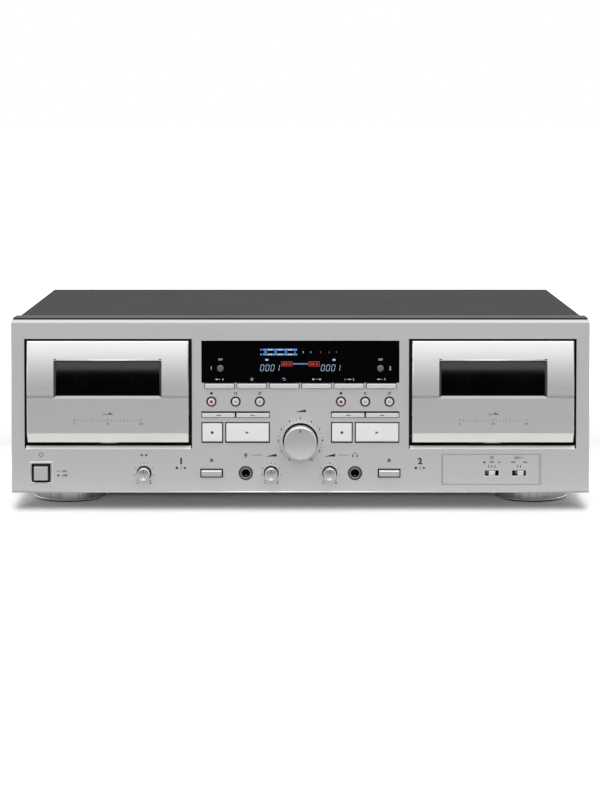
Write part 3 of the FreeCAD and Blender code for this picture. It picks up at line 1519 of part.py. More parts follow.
def main_board():
    """The main board on its posts, with a heat sink, capacitors and a row of connectors."""
    board = Piece("main_board")
    top = "main_board_top"
    whole_x = ("main_board_left", "main_board_right")
    board.block(whole_x, ("main_board_front", "main_board_rear"), ("main_board_z", top))
    sink_left = "main_board_left + heat_sink_left"
    sink_rear = "main_board_rear - heat_sink_rear_gap"
    sink_x = (sink_left, f"{sink_left} + heat_sink_width")
    board.block(sink_x, (f"{sink_rear} - heat_sink_depth", sink_rear), (top, f"{top} + heat_sink_height"))
    row_front = "main_board_front + connector_setback"
    row_x = ("main_board_left + connector_left", "main_board_right - connector_right")
    board.block(row_x, (row_front, f"{row_front} + connector_depth"), (top, f"{top} + connector_height"))
    for n in range(int(value("capacitor_count"))):
        x = f"main_board_left + capacitor_left + capacitor_pitch * {n}"
        spot = (x, "main_board_front + capacitor_setback")
        board.drum("z", spot, (top, f"{top} + capacitor_height"), "capacitor_radius")
    return board.done()


def power_transformer():
    """The mains transformer: core, coil and a bracket on the floor."""
    core = Piece("power_transformer")
    middle = "-core_x"
    bracket_y = about("core_y", "core_bracket_half")
    core.block(about(middle, "core_bracket / 2"), bracket_y, ("floor_top", "bracket_top"))
    core_z = ("floor_top", "floor_top + core_height")
    core.block(about(middle, "core_width / 2"), about("core_y", "core_depth / 2"), core_z)
    coil_z = ("floor_top + coil_margin", "floor_top + core_height - coil_margin")
    core.block(about(middle, "coil_width / 2"), about("core_y", "coil_depth / 2"), coil_z)
    for side in SIDES:
        spot = (f"{middle} + {side} * core_screw_x", "core_y")
        core.drum("z", spot, ("floor_top - 1", "bracket_top + 1"), "screw_hole", cut=True)
    return core.done()


def phono_spots(block):
    """The middles of the four phono sockets of one block, seen from the rear panel's plane."""
    middle = f"phono_offset + {block} * phono_block_spacing / 2"
    return [
        (f"{middle} + {column} * phono_pitch / 2", f"phono_z + {row} * phono_rise / 2")
        for column in SIDES
        for row in SIDES
    ]


def phono_block(name, block):
    """A block of four phono sockets behind the rear panel."""
    piece = Piece(name)
    middle = f"phono_offset + {block} * phono_block_spacing / 2"
    across = about(middle, "phono_pitch / 2 + phono_border")
    block_y = ("rear_inner - phono_block_depth", "rear_inner")
    piece.plate(across, block_y, about("phono_z", "phono_rise / 2 + phono_border"))
    spots = phono_spots(block)
    piece.studs(("rear_inner", "socket_end"), (), [(spot, "phono_radius") for spot in spots])
    pins = [(spot, "phono_pin_hole") for spot in spots]
    piece.openings(("socket_end - phono_pin_depth", "socket_end"), (), pins)
    return piece.body


def mains_inlet():
    """The two pin mains inlet, with its flange on the rear panel."""
    inlet = Piece("mains_inlet")
    half_x, half_z = "inlet_width / 2 + inlet_wall", "inlet_height / 2 + inlet_wall"
    flange_rear = "rear_face + inlet_flange_sheet"
    floor = "rear_face - inlet_depth"
    inlet.plate(about("-inlet_x", half_x), (f"{floor} - inlet_wall", "rear_face"), about("inlet_z", half_z))
    flange_x = about("-inlet_x", f"{half_x} + inlet_flange")
    inlet.block(flange_x, ("rear_face", flange_rear), about("inlet_z", f"{half_z} + inlet_flange"))
    inlet.soften("Fillet", "inlet_rounding", inlet.at_back)
    cavity_x = about("-inlet_x", "inlet_width / 2")
    cavity_y = (floor, f"{flange_rear} + 1")
    inlet.block(cavity_x, cavity_y, about("inlet_z", "inlet_height / 2"), cut=True)
    pins = [((f"-inlet_x + {hand} * inlet_pin_pitch / 2", "inlet_z"), "inlet_pin_radius") for hand in SIDES]
    inlet.studs((floor, "rear_face - inlet_pin_recess"), (), pins)
    return inlet.body


# The whole deck

front_panel()
front_frame()
display_window()
bottom_chassis()
rear_panel()
top_cover()
feet()
case_screws()
main_board()
power_transformer()
group("rear_sockets", [phono_block("phono_block_1", -1), phono_block("phono_block_2", 1), mains_inlet()])
front_jacks()
group("control_boards", [centre_board(), side_board("left", -1), side_board("right", 1)])
frames = []
drives = []
for deck, side in DECKS:
    door_cover(deck, side)
    door_lens(deck, side)
    cassette_holder(deck, side)
    frames += [transport_frame(deck, side), transport_bracket(deck, side)]
    drives += [motor(deck, side), belt(deck, side)]
    reel_spindle(f"supply_spindle_{deck}", side, -1)
    reel_spindle(f"take_up_spindle_{deck}", side, 1)
    flywheel(deck, side)
    head_carriage(deck, side)
    reset_spot = (f"{side} * counter_x", "counter_z")
    round_key(f"counter_reset_button_{deck}", reset_spot, "counter_radius", "counter_reach")
group("transport_frames", frames)
group("belt_drives", drives)
for key in PUSH_KEYS:
    push_key(key)
for name, spot in ROUND_KEYS:
    round_key(name, spot, "round_key_radius", "round_key_reach")
level_knob()
for name, x in zip(("microphone_level_knob", "headphone_level_knob", "pitch_knob"), KNOB_X):
    knob(name, (x, "control_z"), "small_knob", "small_shaft").done()
slider("timer_switch", "timer_x", "0")
slider("noise_reduction_switch", "noise_x", "slider_rest")

doc.recompute()
faults = [item.Label for item in doc.Objects if "Invalid" in item.State or "Error" in item.State]
for part in sub_parts:
    shape = part.Shape
    if shape.isNull() or not shape.isValid() or not shape.Solids:
        faults.append(part.Label)
if faults:
    raise RuntimeError("these did not build: " + ", ".join(faults))
os.makedirs("parts", exist_ok=True)
for part in sub_parts:
    part.Shape.exportStep(os.path.join("parts", part.Label + ".step"))
print(len(sub_parts), "sub-parts,", sum(len(part.Shape.Solids) for part in sub_parts), "solids")
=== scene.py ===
import math

import bmesh
import bpy
from mathutils import Matrix, Vector


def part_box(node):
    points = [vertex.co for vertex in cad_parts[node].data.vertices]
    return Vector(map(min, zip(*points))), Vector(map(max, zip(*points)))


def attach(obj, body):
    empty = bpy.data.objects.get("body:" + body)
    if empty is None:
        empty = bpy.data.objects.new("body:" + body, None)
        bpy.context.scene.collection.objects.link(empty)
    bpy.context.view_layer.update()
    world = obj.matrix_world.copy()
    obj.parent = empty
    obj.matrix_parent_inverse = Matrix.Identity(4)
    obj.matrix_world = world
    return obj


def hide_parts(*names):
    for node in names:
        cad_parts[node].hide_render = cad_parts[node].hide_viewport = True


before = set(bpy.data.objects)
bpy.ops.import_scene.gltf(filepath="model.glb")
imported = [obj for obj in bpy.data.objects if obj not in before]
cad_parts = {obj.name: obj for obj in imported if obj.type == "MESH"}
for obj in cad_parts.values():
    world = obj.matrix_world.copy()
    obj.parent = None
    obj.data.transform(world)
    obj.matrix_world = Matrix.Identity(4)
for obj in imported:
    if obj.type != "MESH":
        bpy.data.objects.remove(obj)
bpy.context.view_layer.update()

# The looks of a double cassette deck. X runs to the right, Y from the front to the back and Z up, as in the packed
# model. Lengths are in millimetres, except those that nodes and the studio are given, which are in metres.

MM = 0.001
DECKS = {1: -1, 2: 1}  # each deck's number and the side that it is on
SIDES = (-1, 1)
PRINT = 0.03  # how far a printed mark stands proud
NEAR = 1e-6  # two places nearer than this count as one, in metres
MERGED = 1e-7  # corners nearer than this become one, in metres

panel_y = -126.5
display_y = -126.0
door_y = -132.5
rear_y = 133.5
control_z = 28.0
level_z = 52.7
play_z = 59.0
round_key_z = 82.15
door_x = 144.65
door_arc_z = 94.1  # above this height the doors and their windows lean back along an arc
door_arc_radius = 242.0
jack_x = 41.15
small_knob_x = 22.05
pitch_x = -117.85
power_x = -195.4
timer_x = 144.25
noise_x = 164.75
foot_x = 179.0
front_foot_y = -67.5
rear_foot_y = 88.5
socket_block_x = (25.6, 98.4)
socket_pair = 7.0  # from the middle of a block to a column of sockets
left_socket_z = 65.1
right_socket_z = 46.1
inlet_x = -165.0
inlet_z = 47.6


# Node groups

def add(tree, kind, inputs=None, **settings):
    """Adds one node with its settings and what feeds it, and gives its outputs."""
    made = tree.nodes.new(kind)
    for key, value in settings.items():
        setattr(made, key, value)
    fill(tree, made.inputs, inputs or {})
    return made.outputs


def fill(tree, targets, values):
    """Links values to named inputs, or sets them there when they are plain numbers, vectors or colours."""
    for key, value in values.items():
        if isinstance(value, bpy.types.NodeSocket):
            tree.links.new(value, targets[key])
        else:
            targets[key].default_value = value


def new_group(name, outputs, inputs):
    """Starts a node group. An input's default tells its kind: a number, a vector or a colour."""
    tree = bpy.data.node_groups.new(name, "ShaderNodeTree")
    for label, value in inputs.items():
        kind = "Float" if isinstance(value, (int, float)) else {3: "Vector", 4: "Color"}[len(value)]
        socket = tree.interface.new_socket(label, in_out="INPUT", socket_type=f"NodeSocket{kind}")
        socket.default_value = value
    for label, kind in outputs:
        tree.interface.new_socket(label, in_out="OUTPUT", socket_type=f"NodeSocket{kind}")
    start = tree.nodes.new("NodeGroupInput")
    end = tree.nodes.new("NodeGroupOutput")
    return tree, start.outputs, end.inputs


def use_group(tree, group, inputs):
    """Places a node group in a material."""
    return add(tree, "ShaderNodeGroup", inputs, node_tree=group)


def maths(tree, operation, first, second=0.0, **settings):
    """A sum, product or the like of two numbers."""
    return add(tree, "ShaderNodeMath", {0: first, 1: second}, operation=operation, **settings)[0]


def vectors(tree, operation, first, second=(0, 0, 0), output="Vector"):
    """A sum, product or the like of two vectors."""
    return add(tree, "ShaderNodeVectorMath", {0: first, 1: second}, operation=operation)[output]


def noise(tree, place, scale, detail, roughness=0.5):
    """A noise between 0 and 1."""
    inputs = {"Vector": place, "Scale": scale, "Detail": detail, "Roughness": roughness}
    return add(tree, "ShaderNodeTexNoise", inputs)[0]


def blend(tree, mask, first, second, kind="FLOAT"):
    """The first value where the mask is 0 and the second where it is 1. The kind is FLOAT or RGBA."""
    return add(tree, "ShaderNodeMix", {"Factor": mask, "A": first, "B": second}, data_type=kind)["Result"]


def swing(tree, pattern, amount):
    """How far a pattern lies from its middle value, times an amount."""
    return maths(tree, "MULTIPLY", maths(tree, "SUBTRACT", pattern, 0.5), amount)


SURFACE = (("Colour", "Color"), ("Roughness", "Float"), ("Height", "Float"))


def put_out(tree, given, out, change, gloss, height):
    """Puts out the given colour with its change, the given roughness with a gloss pattern's, and the height."""
    factor = maths(tree, "ADD", change, 1.0)
    shade = add(tree, "ShaderNodeVectorMath", {0: given["Colour"], "Scale": factor}, operation="SCALE")[0]
    drift = maths(tree, "ADD", swing(tree, gloss, given["Spread"]), given["Roughness"])
    fill(tree, out, {"Colour": shade, "Roughness": drift, "Height": height})


def grain_group():
    """Fine grain in the colour and surface, with broad soft changes of gloss."""
    tree, given, out = new_group("fine grain", SURFACE, {
        "Vector": (0, 0, 0), "Scale": 1500, "Colour": (0.5, 0.5, 0.5, 1), "Contrast": 0.1, "Roughness": 0.5,
        "Spread": 0.1,
    })
    fine = noise(tree, given["Vector"], given["Scale"], 3.0)
    broad = noise(tree, given["Vector"], 18.0, 2.0)
    put_out(tree, given, out, swing(tree, fine, given["Contrast"]), broad, fine)
    return tree


def hairline_group():
    """Straight hairlines, as on brushed metal. Stretch is the pattern's scale along each axis."""
    tree, given, out = new_group("hairlines", SURFACE, {
        "Vector": (0, 0, 0), "Stretch": (8, 8, 2500), "Colour": (0.5, 0.5, 0.5, 1), "Contrast": 0.06,
        "Roughness": 0.4, "Spread": 0.1,
    })
    drawn = vectors(tree, "MULTIPLY", given["Vector"], given["Stretch"])
    lines = noise(tree, drawn, 1.0, 4.0, 0.6)
    broad = noise(tree, given["Vector"], 9.0, 1.0)
    both = blend(tree, 0.35, lines, broad)
    put_out(tree, given, out, swing(tree, both, given["Contrast"]), lines, lines)
    return tree


def turning_group():
    """The fine rings that a lathe leaves round an axis along Y or Z, with bright and dark wedges round the axis as
    strong as Painted Glint, a painted highlight. Flat is 1 on the axes that count.
    """
    tree, given, out = new_group("turned rings", SURFACE, {
        "Vector": (0, 0, 0), "Flat": (1, 0, 1), "Pitch": 3000, "Colour": (0.5, 0.5, 0.5, 1), "Contrast": 0.08,
        "Roughness": 0.3, "Spread": 0.1, "Painted Glint": 0.0,
    })
    level = vectors(tree, "MULTIPLY", given["Vector"], given["Flat"])
    radius = vectors(tree, "LENGTH", level, output="Value")
    along = add(tree, "ShaderNodeCombineXYZ", {"X": maths(tree, "MULTIPLY", radius, given["Pitch"])})[0]
    rings = noise(tree, along, 1.0, 3.0)
    axes = add(tree, "ShaderNodeSeparateXYZ", {"Vector": level})
    angle = maths(tree, "ARCTAN2", axes["X"], maths(tree, "ADD", axes["Y"], axes["Z"]))
    painted_glint = maths(tree, "MULTIPLY", maths(tree, "COSINE", maths(tree, "MULTIPLY", angle, 4.0)), given["Painted Glint"])
    change = maths(tree, "ADD", swing(tree, rings, given["Contrast"]), painted_glint)
    put_out(tree, given, out, change, rings, rings)
    return tree


def zone_group():
    """A mask that is 1 inside the box from Low to High and 0 outside, with a narrow soft edge."""
    tree, given, out = new_group("zone", (("Mask", "Float"),), {
        "Vector": (0, 0, 0), "Low": (0, 0, 0), "High": (1, 1, 1),
    })
    over = vectors(tree, "SUBTRACT", given["Vector"], given["Low"])
    under = vectors(tree, "SUBTRACT", given["High"], given["Vector"])
    axes = add(tree, "ShaderNodeSeparateXYZ", {"Vector": vectors(tree, "MINIMUM", over, under)})
    inside = maths(tree, "MINIMUM", maths(tree, "MINIMUM", axes["X"], axes["Y"]), axes["Z"])
    soft_edge = 0.1 * MM
    tree.links.new(maths(tree, "MULTIPLY", inside, 1 / soft_edge, use_clamp=True), out["Mask"])
    return tree


GRAIN = grain_group()
HAIRLINES = hairline_group()
TURNING = turning_group()
ZONE = zone_group()


# Finishes

def start_finish(name):
    """A new material with its shader's inputs and the object's own coordinates."""
    made = bpy.data.materials.new(name)
    made.use_nodes = True
    tree = made.node_tree
    shader = tree.nodes["Principled BSDF"].inputs
    place = tree.nodes.new("ShaderNodeTexCoord").outputs["Object"]
    return made, tree, shader, place


def lay(tree, shader, surface, relief, metallic):
    """Feeds a group's colour, gloss and height to the shader, and sets its metal."""
    bump = add(tree, "ShaderNodeBump", {"Height": surface["Height"], "Strength": 0.6, "Distance": relief * MM})[0]
    fill(tree, shader, {
        "Base Color": surface["Colour"], "Roughness": surface["Roughness"], "Normal": bump, "Metallic": metallic,
    })


def grain(tree, place, scale, colour, contrast, roughness, spread=0.1):
    """Places the grain group in a material."""
    return use_group(tree, GRAIN, {
        "Vector": place, "Scale": scale, "Colour": colour, "Contrast": contrast, "Roughness": roughness,
        "Spread": spread,
    })


def zone_mix(tree, place, colour, roughness, metallic, zones):
    """Colour, gloss and metal that change inside boxes of the object, given in millimetres."""
    for low, high, paint, dull, plated in zones:
        box = {"Vector": place, "Low": [v * MM for v in low], "High": [v * MM for v in high]}
        mask = use_group(tree, ZONE, box)[0]
        colour = blend(tree, mask, colour, (*paint, 1), "RGBA")
        roughness = blend(tree, mask, roughness, dull)
        metallic = blend(tree, mask, metallic, plated)
    return colour, roughness, metallic


def grained(name, colour, roughness, metallic=0.0, scale=1500, contrast=0.12, spread=0.1, relief=0.02, shine=0.5):
    """A moulded, painted or plated finish with fine grain."""
    made, tree, shader, place = start_finish(name)
    surface = grain(tree, place, scale, (*colour, 1), contrast, roughness, spread)
    lay(tree, shader, surface, relief, metallic)
    shader["Specular IOR Level"].default_value = shine
    return made


def brushed(name, colour, roughness, metallic, stretch, contrast=0.05, zones=()):
    """Brushed metal with straight hairlines."""
    made, tree, shader, place = start_finish(name)
    paint, dull, plated = zone_mix(tree, place, (*colour, 1), roughness, metallic, zones)
    surface = use_group(tree, HAIRLINES, {
        "Vector": place, "Stretch": stretch, "Colour": paint, "Contrast": contrast, "Roughness": dull,
        "Spread": 0.12,
    })
    lay(tree, shader, surface, 0.004, plated)
    return made


def turned(name, colour, roughness, centre, painted_glint=0.0):
    """Turned metal, with rings round an axis along Y through a centre given in millimetres, and wedges of painted
    highlight as strong as painted_glint.
    """
    made, tree, shader, place = start_finish(name)
    moved = add(tree, "ShaderNodeMapping", {"Vector": place, "Location": [-c * MM for c in centre]})[0]
    surface = use_group(tree, TURNING, {
        "Vector": moved, "Colour": (*colour, 1), "Contrast": 0.1, "Roughness": roughness, "Spread": 0.15, "Painted Glint": painted_glint,
    })
    lay(tree, shader, surface, 0.005, 1.0)
    return made


def glowing(name, colour, strength):
    """A lit segment of the display, its glow varying slightly with fine grain."""
    made, tree, shader, place = start_finish(name)
    surface = grain(tree, place, 900, (*colour, 1), 0.35, 0.3, 0.05)
    fill(tree, shader, {
        "Base Color": (0.01, 0.01, 0.012, 1), "Roughness": surface["Roughness"],
        "Emission Color": surface["Colour"], "Emission Strength": strength,
    })
    return made


def zoned(name, base, roughness, metallic, zones):
    """One finish whose colour and metal change inside boxes of the object, given in millimetres."""
    made, tree, shader, place = start_finish(name)
    colour, rough, metal = zone_mix(tree, place, (*base, 1), roughness, metallic, zones)
    lay(tree, shader, grain(tree, place, 1500, colour, 0.15, rough), 0.02, metal)
    return made


def grey(tone):
    return (tone, tone, tone)


# A zone's row: its lowest and highest corner, and its colour, roughness and metal.
# The front panel is painted near-black in its openings, as painted shade, and is bare and bright where its edges are
# cut, at its top and round the power key. The ledge under each door is painted bright, as a painted highlight.
# A near-black colour painted where shade falls, in openings and bevels.
PAINTED_SHADE = ((0.02, 0.02, 0.021), 0.6, 0.0)
PANEL_ZONES = [
    ((-216.6, -126.2, 15.0), (216.6, -122.0, 142.2), *PAINTED_SHADE),
    ((-218, -127, 141.4), (218, -122, 144), grey(0.42), 0.34, 1.0),
    # The ledge under each door: a painted highlight, lighter than the panel, where the door's shadow falls.
    ((-206.8, -126.45, 45.9), (-82.5, -123.8, 48.8), grey(0.92), 0.45, 0.7),
    ((82.5, -126.45, 45.9), (206.8, -123.8, 48.8), grey(0.92), 0.45, 0.7),
    ((-206, -127.3, 15), (-184, -126.56, 41), grey(0.6), 0.4, 0.9),
    ((-206, -127.04, 15), (-184, -126.6, 41), grey(0.95), 0.3, 1.0),
]
# The doors' light and shade are painted: the lower strip is lighter and warmer, a painted reflection of the floor,
# and the window's top bevel, lower bevel and ends are darker, painted shade.
DOOR_PAINTED_LIGHT_AND_SHADE = [
    ((-218, -133, 50), (218, -126, 58.95), (0.78, 0.765, 0.73), 0.34, 0.95),
    ((-218, -131.2, 112.8), (218, -126, 114.95), *PAINTED_SHADE),
    ((-218, -133, 85.42), (218, -129, 87.5), (0.45, 0.45, 0.46), 0.45, 0.9),
]
window_end = (38.4, 40.6)  # where the bevel at a window's end begins and stops, from the window's middle
DOOR_PAINTED_LIGHT_AND_SHADE += [
    ((x + min(hand * v for v in window_end), -133, 86.6), (x + max(hand * v for v in window_end), -129, 115),
     grey(0.1), 0.4, 0.9)
    for x in (-door_x, door_x) for hand in SIDES
]

panel_silver = brushed("silver_panel", (0.65, 0.65, 0.655), 0.42, 0.6, (12, 12, 2200), zones=PANEL_ZONES)
# A silver brighter than the panel's: the raised border's highlight painted in.
border_silver_painted_highlight = brushed("border_silver_painted_highlight", grey(0.95), 0.4, 0.6, (12, 12, 2200))
door_silver = brushed("door_silver", (0.76, 0.76, 0.765), 0.35, 0.9, (10, 10, 2600), 0.03, DOOR_PAINTED_LIGHT_AND_SHADE)
plated_steel = brushed("plated_steel", (0.6, 0.6, 0.58), 0.36, 1.0, (60, 60, 1500), 0.12)
# The tone, roughness and metal of each kind of key. A key that shares a finish is named after it in KEY_KINDS.
KEY_TONES = {
    "stop": (0.95, 0.4, 0.2), "rewind": (0.8, 0.4, 0.35), "eject": (0.76, 0.28, 0.7), "power": (0.58, 0.4, 0.4),
    "small": (0.82, 0.35, 0.4),
}
KEY_KINDS = {
    "stop": "stop", "play": "stop", "rewind": "rewind", "forward": "rewind", "eject": "eject", "power": "power",
}
key_silver = {
    kind: grained(f"key_silver_{kind}", (tone, tone, tone * 1.01), dull, plated, contrast=0.03, relief=0.003)
    for kind, (tone, dull, plated) in KEY_TONES.items()
}
# A darker copy of the key silver: painted shade on the keys' downward faces.
key_painted_shade = grained("key_painted_shade", grey(0.3), 0.4, 0.5, contrast=0.03, relief=0.003)
cut_metal = grained("cut_metal", grey(0.72), 0.26, 1.0, contrast=0.04, relief=0.002)
black_moulding = grained("black_moulding", (0.018, 0.018, 0.019), 0.55, scale=1800, relief=0.03)
window_black = grained("dark_window", (0.002, 0.002, 0.0025), 0.06, scale=60, contrast=0.2, spread=0.02, relief=0,
                       shine=0.25)
cover_steel = grained("dark_steel", (0.066, 0.065, 0.068), 0.7, scale=2600, contrast=0.5, relief=0.05, shine=0.04)
screw_steel = grained("screw_steel", (0.09, 0.09, 0.092), 0.35, 1.0, scale=3000)
socket_black = grained("socket_body", (0.02, 0.02, 0.021), 0.4)
socket_white = grained("socket_white", (0.7, 0.69, 0.66), 0.4)
socket_red = grained("socket_red", (0.45, 0.02, 0.02), 0.4)
spindle_white = grained("spindle_plastic", (0.55, 0.55, 0.53), 0.4)


def flat_ink(name, colour, roughness=0.5, contrast=0.3):
    """Flat ink."""
    return grained(name, colour, roughness, scale=4000, contrast=contrast, relief=0)


def smooth_metal(name, colour, roughness, metallic, contrast):
    """Smooth plated metal."""
    return grained(name, colour, roughness, metallic, scale=800, contrast=contrast, relief=0)


print_ink = flat_ink("print_ink", (0.02, 0.02, 0.024))
# Grey ink: print on the pause and mute keys, and painted shade round the round keys and at the ends of the switch
# border.
grey_ink_and_painted_shade = flat_ink("grey_ink_and_painted_shade", (0.16, 0.16, 0.165))
pale_ink = flat_ink("pale_ink", grey(0.5))
white_ink = flat_ink("white_ink", (0.6, 0.6, 0.62), contrast=0.2)
red_ink = flat_ink("red_ink", (0.4, 0.02, 0.025), 0.4, 0.2)
dull_nickel = smooth_metal("dull_nickel", grey(0.3), 0.3, 1.0, 0.05)
sleeve_nickel = smooth_metal("sleeve_nickel", (0.6, 0.58, 0.53), 0.35, 0.45, 0.05)
brass = smooth_metal("brass", (0.62, 0.46, 0.2), 0.3, 1.0, 0.1)
lit_blue = glowing("lit_blue", (0.13, 0.4, 0.9), 0.85)
lit_white = glowing("lit_white", (0.55, 0.7, 1.0), 0.75)
lit_red = glowing("lit_red", (1.0, 0.08, 0.07), 0.6)
dim_red = glowing("dim_red", (1.0, 0.16, 0.12), 0.22)


def foot_metal():
    """Bright turned feet with a rubber pad under them, with vertical streaks of reflection painted into their
    colour.
    """
    made, tree, shader, place = start_finish("foot_metal")
    # Folded about the two middle planes of their pattern, the four feet fall on one centre.
    middle_y = (front_foot_y + rear_foot_y) / 2
    folded = vectors(tree, "ABSOLUTE", vectors(tree, "ADD", place, (0.0, -middle_y * MM, 0.0)))
    corner = (-foot_x * MM, (middle_y - rear_foot_y) * MM, 0.0)
    centred = add(tree, "ShaderNodeMapping", {"Vector": folded, "Location": corner})[0]
    # Vertical streaks from dark to light: a painted reflection round each foot.
    painted_reflection_streaks = noise(tree, vectors(tree, "MULTIPLY", place, (230.0, 230.0, 0.0)), 1.0, 3.0, 0.7)
    tone = blend(tree, painted_reflection_streaks, (0.12, 0.118, 0.11, 1), (0.66, 0.65, 0.62, 1), "RGBA")
    surface = use_group(tree, TURNING, {
        "Vector": centred, "Flat": (1, 1, 0), "Pitch": 900, "Colour": tone, "Contrast": 0.1, "Roughness": 0.2,
        "Spread": 0.1,
    })
    pad = use_group(tree, ZONE, {"Vector": place, "Low": (-1, -1, -1), "High": (1, 1, 0.0014)})[0]
    fill(tree, shader, {
        "Base Color": blend(tree, pad, surface["Colour"], (0.02, 0.02, 0.02, 1), "RGBA"),
        "Roughness": blend(tree, pad, surface["Roughness"], 0.8),
        "Metallic": maths(tree, "SUBTRACT", 1.0, pad),
    })
    return made


def smoked_glass():
    """The smoked window of a door."""
    made, tree, shader, place = start_finish("smoked_lens")
    surface = grain(tree, place, 120, (0.002, 0.002, 0.0025, 1), 0.3, 0.08, 0.04)
    fill(tree, shader, {
        "Base Color": surface["Colour"], "Roughness": surface["Roughness"], "Specular IOR Level": 1.0, "Alpha": 0.8,
    })
    return made


def circuit_board(name, zones):
    """A green board with tracks and pads; the zones are the parts that stand on it."""
    made, tree, shader, place = start_finish(name)
    tracks = add(tree, "ShaderNodeTexVoronoi", {"Vector": place, "Scale": 260.0}, distance="CHEBYCHEV")["Distance"]
    line = add(tree, "ShaderNodeMapRange", {"Value": tracks, "From Min": 0.42, "From Max": 0.5})[0]
    colour = blend(tree, line, (0.012, 0.09, 0.035, 1), (0.03, 0.17, 0.07, 1), "RGBA")
    colour, rough, metal = zone_mix(tree, place, colour, 0.42, 0.0, zones)
    lay(tree, shader, grain(tree, place, 700, colour, 0.25, rough), 0.03, metal)
    return made


def head_finish(deck, middle):
    """Plated steel, with a bright record and play head, a dark erase head and a rubber pinch roller."""
    head, gap = (middle - 6.3, middle + 6.3), 0.7
    zones = [((head[0], -123.5, 50.1), (head[1], -111.4, 60), (0.85, 0.85, 0.84), 0.16, 1.0)]
    for y in (-120.6, -115.6):
        zones.append(((head[0], y, 59.0), (head[1], y + gap, 60), grey(0.1), 0.3, 0.5))
    zones += [
        ((middle - 18.6, -123.5, 50.1), (middle - 11.4, -111.4, 60), (0.03, 0.03, 0.032), 0.35, 0.0),
        ((middle + 14.9, -122, 51.8), (middle + 25.1, -112.7, 62), grey(0.016), 0.75, 0.0),
    ]
    return zoned(f"head_metal_{deck}", (0.6, 0.6, 0.58), 0.34, 1.0, zones)


def box_of(node):
    """A node's lowest corner, highest corner and middle."""
    low, high = [[v / MM for v in corner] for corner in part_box(node)]
    return low, high, [(a + b) / 2 for a, b in zip(low, high)]


def dress_cad():
    """Gives every carried-over node its finish."""
    copper = ((0.42, 0.18, 0.05), 0.4, 0.6)
    finishes = {
        "front_panel": panel_silver,
        "display_window": window_black,
        "top_cover": cover_steel,
        "rear_panel": cover_steel,
        "feet": foot_metal(),
        "bottom_chassis": plated_steel,
        "front_jacks": socket_black,
        "transport_frames": zoned("transport_metal", (0.6, 0.6, 0.58), 0.36, 1.0, [
            ((-218, -113, 40), (218, -107.4, 140), (0.06, 0.06, 0.062), 0.5, 0.2)]),
        "belt_drives": zoned("motor_metal", (0.55, 0.55, 0.54), 0.32, 1.0, [
            ((-218, -99.5, 30), (218, -93.5, 140), grey(0.02), 0.7, 0.0)]),
        "main_board": circuit_board("main_board", [
            ((-70, -30, 24.6), (190, 125, 70), (0.05, 0.05, 0.056), 0.35, 0.2)]),
        "control_boards": circuit_board("control_boards", [
            ((-218, -125, 0), (218, -109.6, 145), grey(0.03), 0.4, 0.0),
            ((-218, -107.8, 0), (218, -80, 145), (0.45, 0.45, 0.44), 0.35, 0.8)]),
        "power_transformer": zoned("transformer_core", (0.05, 0.045, 0.04), 0.5, 0.7, [
            ((-166, 29, 14), (-124, 42, 62), *copper), ((-166, 68, 14), (-124, 82, 62), *copper)]),
    }
    for deck, side in DECKS.items():
        finishes[f"head_carriage_{deck}"] = head_finish(deck, side * door_x)
        finishes[f"door_cover_{deck}"] = door_silver
        finishes[f"counter_reset_button_{deck}"] = dull_nickel
        for spindle in ("supply_spindle", "take_up_spindle"):
            finishes[f"{spindle}_{deck}"] = spindle_white
        flywheel = f"capstan_flywheel_{deck}"
        finishes[flywheel] = turned(f"turned_{flywheel}", (0.6, 0.6, 0.58), 0.3, box_of(flywheel)[2])
    for node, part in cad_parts.items():
        if node in finishes:
            finish = finishes[node]
        elif node.endswith("_knob"):
            finish = cut_metal
        elif "key" in node or "button" in node or "switch" in node:
            finish = key_silver[next((kind for word, kind in KEY_KINDS.items() if word in node), "small")]
        else:
            finish = black_moulding
        part.data.materials.clear()
        part.data.materials.append(finish)


# Shapes

def new_object(name, shape, finishes):
    """Turns a bmesh into an object of the scene."""
    mesh = bpy.data.meshes.new(name)
    shape.to_mesh(mesh)
    shape.free()
    made = bpy.data.objects.new(name, mesh)
    bpy.context.scene.collection.objects.link(made)
    for finish in finishes:
        mesh.materials.append(finish)
    return made


def new_piece(name, shape, body, finishes, stands_for=()):
    """Turns a bmesh into a piece that moves with a body of the deck."""
    bmesh.ops.recalc_face_normals(shape, faces=shape.faces)
    made = new_object(name, shape, finishes)
    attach(made, body)
    if stands_for:
        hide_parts(*stands_for)


def extrude(shape, faces):
    """Extrudes faces in place and gives the corners that are to be moved."""
    grown = bmesh.ops.extrude_face_region(shape, geom=list(faces))
    return [item for item in grown["geom"] if isinstance(item, bmesh.types.BMVert)]


def thicken(shape, faces, finish, depth=PRINT):
    """Gives flat upright faces their thickness towards the front."""
    for face in faces:
        face.material_index = finish
    bmesh.ops.translate(shape, vec=(0, -depth * MM, 0), verts=extrude(shape, faces))


def round_off(shape, edges, radius, steps, **settings):
    """Rounds edges off."""
    bmesh.ops.bevel(shape, geom=edges, offset=radius * MM, segments=steps, profile=0.5, affect="EDGES", material=-1,
                    **settings)


def flat(shape, corners, y):
    """A face with these corners (x, z) on the plane y."""
    return shape.faces.new([shape.verts.new((x * MM, y * MM, z * MM)) for x, z in corners])


def outline(shape, corners, y=panel_y, finish=0, depth=PRINT):
    """A thin shape with these corners (x, z) on the plane y."""
    thicken(shape, [flat(shape, corners, y)], finish, depth)


def bar(shape, x, z, width, height, y=panel_y, finish=0, depth=PRINT):
    """A thin upright rectangle round its middle."""
    w, h = width / 2, height / 2
    outline(shape, [(x - w, z - h), (x + w, z - h), (x + w, z + h), (x - w, z + h)], y, finish, depth)


def stroke(shape, start, end, width, y=panel_y, finish=0):
    """A straight line of a given width between two points (x, z)."""
    a, b = Vector(start), Vector(end)
    side = (b - a).normalized().orthogonal() * width / 2
    outline(shape, [a - side, a + side, b + side, b - side], y, finish)


